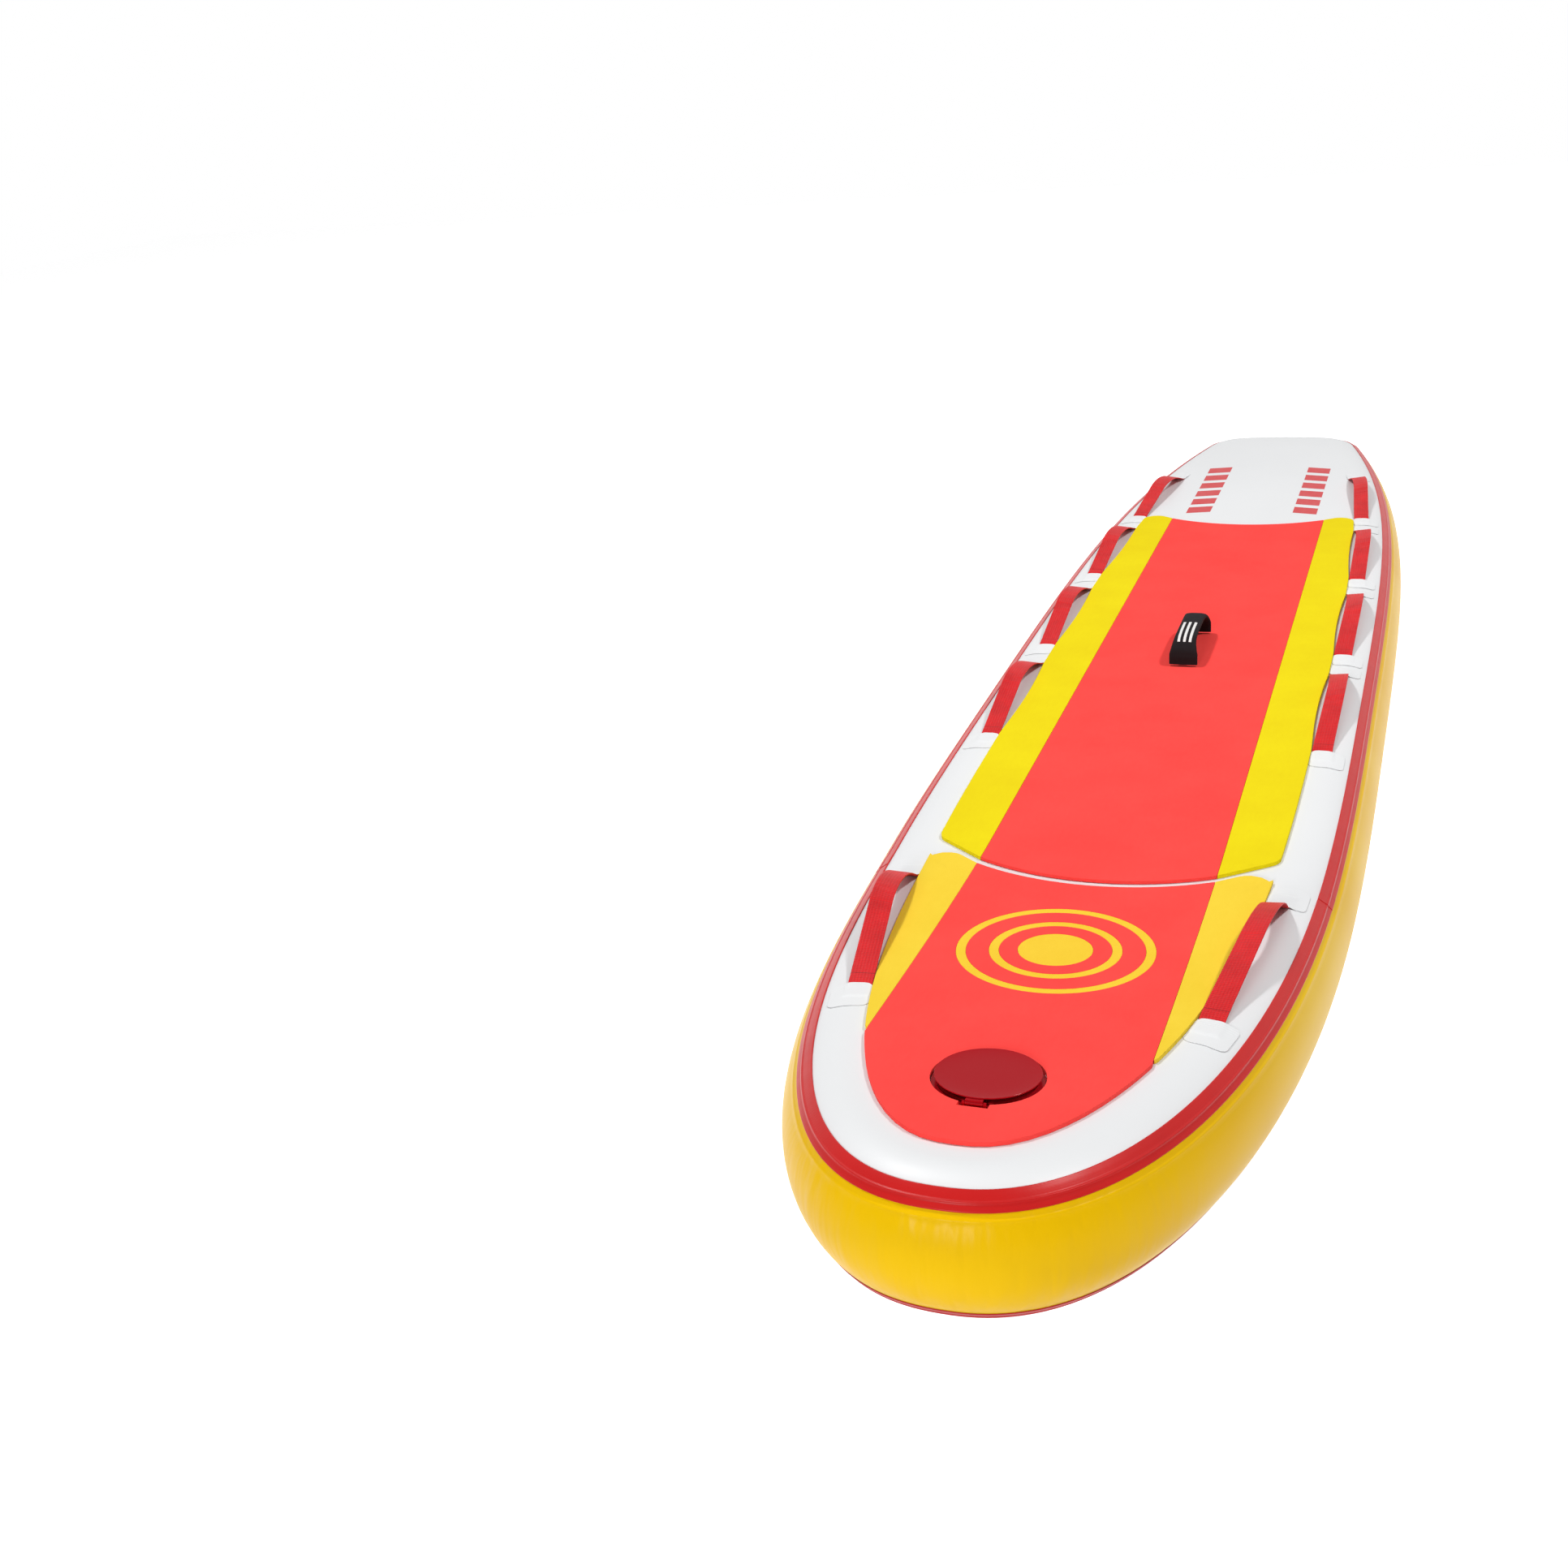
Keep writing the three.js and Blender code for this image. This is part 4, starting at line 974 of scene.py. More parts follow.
    def placed(self, station: Station, out: float, z: float) -> Vector:
        """A section point at a station of the outline; under the nose the bottom hangs a little.

        Args:
            station: The station.
            out: Distance out from the seam line.
            z: Height in the section.

        Returns:
            The point on the board.
        """
        x = station.x + station.nx * out
        sag = self.nose_sag * self.rocker(x) / self.rocker_rise * (1 - z / self.thickness)
        return Vector((x, station.y + station.ny * out, z + self.rocker(x) - sag))

    def on_deck(self, x: float, y: float, height: float = 0.0) -> Vector:
        """A point above the flat deck."""
        return Vector((x, y, self.thickness + self.rocker(x) + height))


@dataclass
class HullShell:
    """Core, two skins, rail wall and seam tapes."""

    form: HullForm
    finishes: Finishes
    skin: float = 0.0012
    gap: float = 0.0003
    seam_turn: float = 0.001
    tape_width: float = 0.0173
    tape_wall: float = 0.0012
    tape_rows: int = 32
    tape_round: float = 0.05  # share of the tape's width that each edge takes
    tape_round_rows: int = 4
    weld_ridge: float = 0.0009
    weld_at: float = 0.6
    weld_width: float = 0.055
    lower_lap: float = 0.0003
    lower_lap_at: float = 0.64
    lower_lap_soft: float = 0.015
    joint_x: float = 0.800
    joint_half: float = 0.030
    joint_lap: float = 0.0005
    rail_rows: int = 26
    rail_spread: float = 1.15
    ridge_turn: float = 0.10
    ridge_half: float = 0.03
    ridge_clear: float = 0.045
    ridge_height: float = 0.0006
    ridge_rows: int = 6
    flat_columns: int = 14
    turn_columns: int = 5
    sharp_edge: float = 60.0
    weld_distance: float = 1e-5
    bar_front: float = -0.862
    bar_pitch: float = 0.066
    bar_count: int = 6
    bar_length: float = 0.044
    bar_lines: tuple[float, ...] = (0.083, 0.107, 0.131)
    bar_slant: float = 0.25
    ink_lift: float = 0.00025
    ink_wall: float = 0.0002

    def __post_init__(self) -> None:
        """Finds the angles at which the pieces meet on the rail."""
        self.inner = self.form.angle_at(0.0)
        self.outer = self.form.angle_at(self.tape_width)
        self.joint = (self.inner + self.outer) / 2

    def face_rows(self, last_angle: float, depth: float, bottom: bool) -> list[Row]:
        """Rows from side to side over the deck or under the bottom.

        Args:
            last_angle: The rail angle where the rows end.
            depth: How deep the rows lie below the outer surface.
            bottom: Whether they lie on the bottom.

        Returns:
            One row for each station of the outline.
        """
        turns = [last_angle * (1 - j / self.turn_columns) for j in range(self.turn_columns + 1)]
        if bottom:
            turns = [math.pi - turn for turn in turns]
        section = [self.form.section(turn, depth) for turn in turns]
        rows: list[Row] = []
        for station in self.form.outline:
            port = [self.form.placed(station, out, z) for out, z in section]
            starboard = [Vector((p.x, -p.y, p.z)) for p in reversed(port)]
            edge, far = port[-1], starboard[0]
            shares = [k / self.flat_columns for k in range(1, self.flat_columns)]
            rows.append([*port, *[edge.lerp(far, share) for share in shares], *starboard])
        return rows

    def swept(self, name: str, profile: Sequence[Spot]) -> Piece:
        """Sweeps a closed section round the whole outline.

        Args:
            name: The piece's name.
            profile: Distances out and heights, the last point being the first again.

        Returns:
            The new piece.
        """
        rows = [[self.form.placed(at, out, z) for out, z in profile] for at in self.form.ring]
        return lofted(name, rows, Facing.CLOSED, sharp=self.sharp_edge)

    def build_core(self) -> None:
        """The drop-stitch core, a closed body just under the skins."""
        depth = self.skin + self.gap
        bm = bmesh.new()
        for bottom, facing in ((False, Facing.UP), (True, Facing.DOWN)):
            loft_into(bm, self.face_rows(math.pi / 2, depth, bottom), facing)
        bmesh.ops.remove_doubles(bm, verts=bm.verts[:], dist=self.weld_distance)
        bmesh.ops.recalc_face_normals(bm, faces=bm.faces[:])
        core = finish_mesh(bm, "air_core")
        dress(core, self.finishes.core, "core_fabric", "hull", "drop_stitch_core")

    def build_skins(self) -> None:
        """The white deck skin and bottom skin, each turned down into its seam."""
        last = self.joint - self.seam_turn
        faces = (("deck_skin", False, Facing.UP), ("bottom_skin", True, Facing.DOWN))
        for name, bottom, facing in faces:
            rows = self.face_rows(last, 0.0, bottom)
            piece = lofted(f"{name}_fabric", rows, facing, wall=self.skin)
            dress(piece, self.finishes.deck, "white_fabric", "hull", name)

    def build_rail(self) -> None:
        """The yellow wall, with the fine raised line where its cloth is lapped under the tape."""
        start, end = self.joint + self.gap / self.form.rail_reach, math.pi - self.joint
        ridge_at = self.outer + self.ridge_turn
        line: list[Spot] = []
        for j in range(self.rail_rows + 1):
            angle = start + (end - start) * (j / self.rail_rows) ** self.rail_spread
            if abs(angle - ridge_at) > self.ridge_clear:
                line.append((angle, 0.0))
        for j in range(self.ridge_rows + 1):
            lean = (j / self.ridge_rows - 0.5) * 2
            angle = ridge_at + lean * self.ridge_half
            line.append((angle, -self.ridge_height * (1 - lean * lean)))
        line.sort()
        outer = [self.form.section(angle, depth) for angle, depth in line]
        inner = [self.form.section(angle, self.skin) for angle, _ in reversed(line)]
        wall = self.swept("rail_fabric", [*outer, *inner, outer[0]])
        dress(wall, self.finishes.rail, "yellow_fabric", "hull", "rail_wall")

    def tape_lift(self, share: float, extra: float) -> float:
        """How far the tape's face stands over the hull.

        Args:
            share: Place across the tape, from nothing at its inner edge to one.
            extra: Thickness added to the tape.

        Returns:
            The distance.
        """
        edge = min(min(share, 1 - share) / self.tape_round, 1)
        rounded = math.sqrt(max(1 - (1 - edge) ** 2, 0.0))
        weld = self.weld_ridge * math.exp(-(((share - self.weld_at) / self.weld_width) ** 2))
        fall = math.exp((share - self.lower_lap_at) / self.lower_lap_soft)
        wall = self.tape_wall - self.lower_lap + self.lower_lap / (1 + fall) + weld + extra
        return self.gap + wall * rounded

    def tape_profile(self, bottom: bool, extra: float = 0.0) -> list[Spot]:
        """The tape's closed section: rounded edges, a raised weld line and a thinner lower lap.

        Args:
            bottom: Whether the tape lies on the bottom's edge.
            extra: Thickness added to the tape.

        Returns:
            Distances out and heights, closed.
        """
        quarter = math.pi / 2 / self.tape_round_rows
        first = [math.sin(quarter * k) ** 2 * self.tape_round for k in range(self.tape_round_rows)]
        width = 1 - 2 * self.tape_round
        rows = self.tape_rows
        middle = [self.tape_round + width * k / rows for k in range(rows + 1)]
        shares = [*first, *middle, *[1 - share for share in reversed(first)]]
        span = self.outer - self.inner
        face = [(self.inner + span * share, -self.tape_lift(share, extra)) for share in shares]
        back = [(angle, -self.gap) for angle, _ in reversed(face[1:-1])]
        closed = [*face, *back, face[0]]
        if bottom:
            closed = [(math.pi - angle, depth) for angle, depth in closed]
        return [self.form.section(angle, depth) for angle, depth in closed]

    def build_tapes(self) -> None:
        """The deck seam tape and the bottom seam tape."""
        tape = self.swept("deck_tape", self.tape_profile(False))
        dress(tape, self.finishes.tape, "red_tape", "hull", "deck_seam_tape")
        low = self.swept("bottom_tape", self.tape_profile(True))
        dress(low, self.finishes.bottom_tape, "dark_red_tape", "hull", "bottom_seam_tape")

    def build_joints(self) -> None:
        """Where the deck tape's two lengths overlap, a thicker lap on each side."""
        stations = [s for s in self.form.outline if abs(s.x - self.joint_x) < self.joint_half]
        profile = self.tape_profile(False, self.joint_lap)
        for side in Side:
            rows = []
            for s in stations:
                mirrored = Station(s.x, side.value * s.y, s.nx, side.value * s.ny)
                rows.append([self.form.placed(mirrored, out, z) for out, z in profile])
            name = f"tape_lap_{side.name.lower()}"
            lap = lofted(name, rows, Facing.CLOSED, sharp=self.sharp_edge)
            dress(lap, self.finishes.tape, "red_tape", "hull")

    def build_bars(self) -> None:
        """Plain slanted bars in red ink on the bare tail deck."""
        bm = bmesh.new()
        middle = self.bar_lines[1]
        for side in Side:
            for k in range(self.bar_count):
                front = self.bar_front - k * self.bar_pitch
                rows = []
                for share in (0.0, 0.5, 1.0):
                    x = front - self.bar_length * share
                    row = []
                    for y in self.bar_lines:
                        lean = (y - middle) * self.bar_slant
                        row.append(self.form.on_deck(x + lean, side.value * y, self.ink_lift))
                    rows.append(row)
                loft_into(bm, rows, Facing.UP, wall=self.ink_wall)
        bars = finish_mesh(bm, "tail_print_bars")
        dress(bars, self.finishes.print_red, "red_tape", "hull")

    def build(self) -> None:
        """Builds the hull's pieces in order."""
        self.build_core()
        self.build_skins()
        self.build_rail()
        self.build_tapes()
        self.build_joints()
        self.build_bars()


@dataclass
class DeckPads:
    """Main pad and nose pad in cut EVA foam, with the target inlaid in the nose pad."""

    form: HullForm
    finishes: Finishes
    glue_gap: float = 0.0003
    thick: float = 0.005
    inset: float = 0.054
    tip_extra: float = 0.006
    color_line: float = 0.150
    seam_gap: float = 0.00025
    end_radius: float = 0.300
    corner: float = 0.025
    corner_steps: int = 8
    main_front: float = 0.854
    main_rear: float = -0.758
    main_rear_trim: float = 0.050
    main_front_trim: float = 0.030
    main_steps: int = 130
    nose_rear: float = 0.873
    nose_rear_trim: float = 0.030
    nose_tip_trim: float = 0.050
    nose_steps: int = 60
    tip_clear: float = 0.003
    tip_length: float = 0.004
    tip_half: float = 0.0012
    scallop: float = 0.005
    scallop_fronts: tuple[float, ...] = (0.387, -0.018, -0.423)
    scallop_span: float = 0.306
    target_x: float = 1.059
    rings: tuple[tuple[str, float, float], ...] = (
        ("target_outer_ring", 0.1133, 0.1023),
        ("target_middle_ring", 0.0755, 0.0645),
        ("target_disc", 0.0426, 0.0),
    )
    inlay_thick: float = 0.0024
    inlay_recess: float = 0.0002
    ring_steps: int = 128
    groove_overrun: float = 0.004
    hole_x: float = 1.372
    hole_radius: float = 0.0578
    hole_steps: int = 96
    cut_low: float = -0.01
    cut_high: float = 0.02
    hinge_room_rear: float = 0.050
    hinge_room_front: float = 0.064
    hinge_room_half: float = 0.0155
    hinge_room_floor: float = 0.0008
    edge_round: float = 0.0007
    columns: int = 28
    length_rows: int = 110
    strip_columns: int = 8
    meeting_rounds: int = 30

    @property
    def top(self) -> float:
        """Height of a pad's face above the deck skin."""
        return self.glue_gap + self.thick

    def end_line(self, center: float, y: float) -> float:
        """Station of a pad's curved end at a distance from the middle."""
        return center - self.end_radius + math.sqrt(self.end_radius**2 - y**2)

    def edge(self, station: Station, extra: float = 0.0) -> Spot:
        """A pad's side edge beside a station of the seam line."""
        inset = self.inset + self.tip_extra * station.nx**2 + extra
        return (station.x - station.nx * inset, station.y - station.ny * inset)

    def scallop_at(self, x: float) -> float:
        """Depth of the hand scallop at a station.

        Args:
            x: The station.

        Returns:
            How far the edge draws in.
        """
        for front in self.scallop_fronts:
            if front - self.scallop_span < x < front:
                along = (x - front + self.scallop_span) / self.scallop_span
                return self.scallop * math.sin(math.pi * along)
        return 0.0

    def slab(self, name: str, plan: Sequence[Sequence[Spot]]) -> Piece:
        """A pad of full thickness over rows of plan points."""
        rows = [[self.form.on_deck(x, y, self.top) for x, y in row] for row in plan]
        return lofted(name, rows, Facing.UP, wall=self.thick)

    def center_plan(self, rear: float, front: Callable[[float], float]) -> list[list[Spot]]:
        """Plan rows of a pad's red centre, from its rear end to a front line.

        Args:
            rear: Station of the rear end on the middle line.
            front: Station of the front end at a distance from the middle.

        Returns:
            The rows from rear to front.
        """
        half = self.color_line - self.seam_gap
        turns = [math.pi / 2 * (2 * j / self.columns - 1) for j in range(self.columns + 1)]
        across = [half * math.sin(turn) for turn in turns]
        ends = [(self.end_line(rear, y), front(y), y) for y in across]
        plan = []
        for i in range(self.length_rows + 1):
            share = i / self.length_rows
            plan.append([(start + (end - start) * share, y) for start, end, y in ends])
        return plan

    def rounded_corner(self, before: Spot, corner: Spot, after: Spot) -> list[Spot]:
        """Points of a round corner of a pad's outline.

        Args:
            before: A point on the edge that comes in.
            corner: The sharp corner.
            after: A point on the edge that goes out.

        Returns:
            The arc's plan points.
        """
        sharp = Vector(corner)
        first, second = (Vector(before) - sharp).normalized(), (Vector(after) - sharp).normalized()
        half = first.angle(second) / 2
        start = sharp + first * self.corner / math.tan(half)
        end = sharp + second * self.corner / math.tan(half)
        center = sharp + (first + second).normalized() * self.corner / math.sin(half)
        arc = []
        for i in range(self.corner_steps + 1):
            chord = start.lerp(end, i / self.corner_steps) - center
            point = center + chord.normalized() * self.corner
            arc.append((point.x, point.y))
        return arc

    def end_station(self, center: float) -> float:
        """Station of the seam line where a pad's side meets its curved end.

        Args:
            center: Station of the end on the middle line.

        Returns:
            The station.
        """
        station = center
        for _ in range(self.meeting_rounds):
            x, y = self.edge(self.form.seam(station))
            station += self.end_line(center, y) - x
        return station

    def side_edge(self, first: float, last: float, steps: int, scallops: bool) -> list[Spot]:
        """Points of a pad's side edge between two stations of the seam line.

        Args:
            first: The rear station.
            last: The front station.
            steps: Pieces between them.
            scallops: Whether the edge draws in beside the handles.

        Returns:
            The edge's plan points from rear to front.
        """
        points = []
        for i in range(steps + 1):
            x = first + (last - first) * i / steps
            points.append(self.edge(self.form.seam(x), self.scallop_at(x) if scallops else 0.0))
        return points

    def strip_plan(self, outer: Sequence[Spot], start: float, end: float) -> list[list[Spot]]:
        """Plan rows between the straight colour line and an outer edge.

        Args:
            outer: Points of the outer edge from rear to front.
            start: Station of the colour line's rear end.
            end: Station of its front end.

        Returns:
            The rows from rear to front.
        """
        inner_y = self.color_line + self.seam_gap
        lengths = running_lengths([Vector(p) for p in outer])
        shares = [j / self.strip_columns for j in range(self.strip_columns + 1)]
        plan = []
        for length, point in zip(lengths, outer):
            foot = Vector((start + (end - start) * length / lengths[-1], inner_y))
            plan.append([tuple(foot.lerp(Vector(point), share)) for share in shares])
        return plan

    def both_sides(
        self, name: str, plan: Sequence[Sequence[Spot]], material: Material, slot: str
    ) -> None:
        """Builds a strip on both sides.

        Args:
            name: The CAD node's name without its side.
            plan: Plan rows of the port strip.
            material: The strip's finish.
            slot: The record's material slot.
        """
        for side in Side:
            mirrored = [[(x, side.value * y) for x, y in row] for row in plan]
            node = f"{name}_{side.name.lower()}"
            self.cushion(self.slab(f"{node}_foam", mirrored), material, slot, node)

    def cushion(self, pad: Piece, material: Material, slot: str, node: str) -> None:
        """Args:
            pad: The piece.
            material: Its finish.
            slot: The record's material slot.
            node: The CAD node that it replaces.
        """
        soften(pad, self.edge_round)
        dress(pad, material, slot, "hull", node)

    def build_main(self) -> None:
        """The long pad: red centre and two scalloped yellow strips."""
        plan = self.center_plan(self.main_rear, lambda y: self.end_line(self.main_front, y))
        center = self.slab("main_pad_center_foam", plan)
        self.cushion(center, self.finishes.red_foam, "red_foam", "main_pad_center")
        line = self.color_line + self.seam_gap
        rear, front = self.end_line(self.main_rear, line), self.end_line(self.main_front, line)
        first, last = self.end_station(self.main_rear), self.end_station(self.main_front)
        whole = self.side_edge(first, last, self.main_steps, True)
        start, end = whole[0][0] + self.main_rear_trim, whole[-1][0] - self.main_front_trim
        side = [p for p in whole if start < p[0] < end]
        rear_edge, front_edge = self.edge(self.form.seam(first)), self.edge(self.form.seam(last))
        rear_corner = self.rounded_corner((rear, line), rear_edge, side[0])
        front_corner = self.rounded_corner(side[-1], front_edge, (front, line))
        plan = self.strip_plan([*rear_corner, *side, *front_corner], rear, front)
        self.both_sides("main_pad_strip", plan, self.finishes.yellow_foam, "yellow_foam")

    def nose_front(self) -> Callable[[float], float]:
        """The nose pad's front line as a function of the distance from the middle.

        Returns:
            A function that gives the station of the edge.
        """
        edge = [self.edge(s) for s in self.form.outline[: self.form.nose_steps]]

        def station(y: float) -> float:
            """Station of the front edge at a distance from the middle.

            Args:
                y: The distance, to either side.

            Returns:
                The station.
            """
            reach = abs(y)
            for (x0, y0), (x1, y1) in zip(edge, edge[1:]):
                if y0 <= reach <= y1:
                    return x0 + (x1 - x0) * (reach - y0) / max(y1 - y0, LEAST)
            return edge[-1][0]

        return station

    def round_piece(self, name: str, x: float, radii: Spot, heights: Spot, steps: int) -> Piece:
        """A flat ring or disc on the deck's middle line.

        Args:
            name: The piece's name.
            x: Station of its centre.
            radii: Outer radius, and inner radius or zero for a disc.
            heights: Heights of underside and face above the deck.
            steps: Pieces round it.

        Returns:
            The new piece.
        """
        (outer, inner), (low, high) = radii, heights
        section = [(outer, low), (outer, high), (inner, high), (inner, low), (outer, low)]
        if not inner:
            section = [(0.0, low), (outer, low), (outer, high), (0.0, high)]
        rows = []
        for i in range(steps + 1):
            turn = math.tau * i / steps
            c, s = math.cos(turn), math.sin(turn)
            rows.append([self.form.on_deck(x + r * c, r * s, h) for r, h in section])
        return lofted(name, rows, Facing.CLOSED)

    def cut_out(self, pad: Piece, tool: Piece) -> None:
        """Cuts a tool's shape out of a pad and removes the tool.

        Args:
            pad: The pad.
            tool: The shape to cut away.
        """
        cutter = pad.modifiers.new("cut", "BOOLEAN")
        cutter.object = tool
        cutter.operation = "DIFFERENCE"
        cutter.solver = "EXACT"
        graph = bpy.context.evaluated_depsgraph_get()
        cut = bpy.data.meshes.new_from_object(pad.evaluated_get(graph))
        pad.modifiers.clear()
        old = pad.data
        pad.data = cut
        bpy.data.meshes.remove(old)
        bpy.data.objects.remove(tool)

    def cut_hinge_room(self, pad: Piece) -> None:
        """Cuts the recess that the cover's edge and tab swing into.

        Args:
            pad: The nose pad's centre.
        """
        half, low, high = self.hinge_room_half, self.hinge_room_floor, self.cut_high
        section = [(-half, low), (half, low), (half, high), (-half, high), (-half, low)]
        ends = (self.hole_x + self.hinge_room_rear, self.hole_x + self.hinge_room_front)
        rows = [[self.form.on_deck(x, y, h) for y, h in section] for x in ends]
        self.cut_out(pad, lofted("hinge_room", rows, Facing.CLOSED))

    def build_nose_center(self) -> None:
        """The nose pad's red centre, with target grooves and valve hole, and the target's foam."""
        plan = self.center_plan(self.nose_rear, self.nose_front())
        pad = self.slab("nose_pad_center_foam", plan)
        face = self.top - self.inlay_recess
        back = face - self.inlay_thick
        groove_heights = (back - self.glue_gap, self.top + self.groove_overrun)
        for name, outer, inner in self.rings:
            radii = (outer + self.glue_gap, inner - self.glue_gap if inner else 0.0)
            groove = self.round_piece(
                f"{name}_groove", self.target_x, radii, groove_heights, self.ring_steps
            )
            self.cut_out(pad, groove)
        cut_heights = (self.cut_low, self.cut_high)
        hole = self.round_piece(
            "valve_hole", self.hole_x, (self.hole_radius, 0.0), cut_heights, self.hole_steps
        )
        self.cut_out(pad, hole)
        self.cut_hinge_room(pad)
        pad.data.set_sharp_from_angle(angle=math.radians(SHARP_EDGE))
        self.cushion(pad, self.finishes.red_foam, "red_foam", "nose_pad_center")
        for name, outer, inner in self.rings:
            ring = self.round_piece(
                f"{name}_foam", self.target_x, (outer, inner), (back, face), self.ring_steps
            )
            dress(ring, self.finishes.amber_foam, "amber_foam", "hull", name)

    def build_nose_strips(self) -> None:
        """The nose pad's two pointed yellow strips."""
        line = self.color_line + self.seam_gap
        first, last = self.end_station(self.nose_rear), self.form.half_length - self.nose_tip_trim
        whole = self.side_edge(first, last, self.nose_steps, False)
        start = whole[0][0] + self.nose_rear_trim
        side = [p for p in whole if p[0] > start and p[1] > line + self.tip_clear]
        tip = (side[-1][0] + self.tip_length, line + self.tip_half)
        rear = self.end_line(self.nose_rear, line)
        corner = self.rounded_corner((rear, line), self.edge(self.form.seam(first)), side[0])
        plan = self.strip_plan([*corner, *side, tip], rear, tip[0])
        self.both_sides("nose_pad_strip", plan, self.finishes.nose_yellow_foam, "nose_yellow_foam")

    def build(self) -> None:
        """Builds the pads in order."""
        self.build_main()
        self.build_nose_center()
        self.build_nose_strips()


def soft_section(width: float, thick: float, power: float, steps: int) -> list[Spot]:
    """A closed flat section with rounded edges.

    Args:
        width: Width of the section.
        thick: Its thickness.
        power: How square it is, 2 for an ellipse.
        steps: Points round it.

    Returns:
        Pairs of across and normal offsets, closed.
    """
    points = []
    for i in range(steps + 1):
        turn = math.tau * i / steps
        c, s = math.cos(turn), math.sin(turn)
        across = width / 2 * math.copysign(abs(c) ** (2 / power), c)
        points.append((across, thick / 2 * math.copysign(abs(s) ** (2 / power), s)))
    return points


def share_of(value: float, start: float, end: float) -> float:
    """How far a value has come from a start to an end, from nothing to one."""
    return min(max((value - start) / (end - start), 0.0), 1.0)


def run_at(line: Sequence[Vector], i: int) -> Vector:
    """Direction of a line at one of its points."""
    return (line[min(i + 1, len(line) - 1)] - line[max(i - 1, 0)]).normalized()


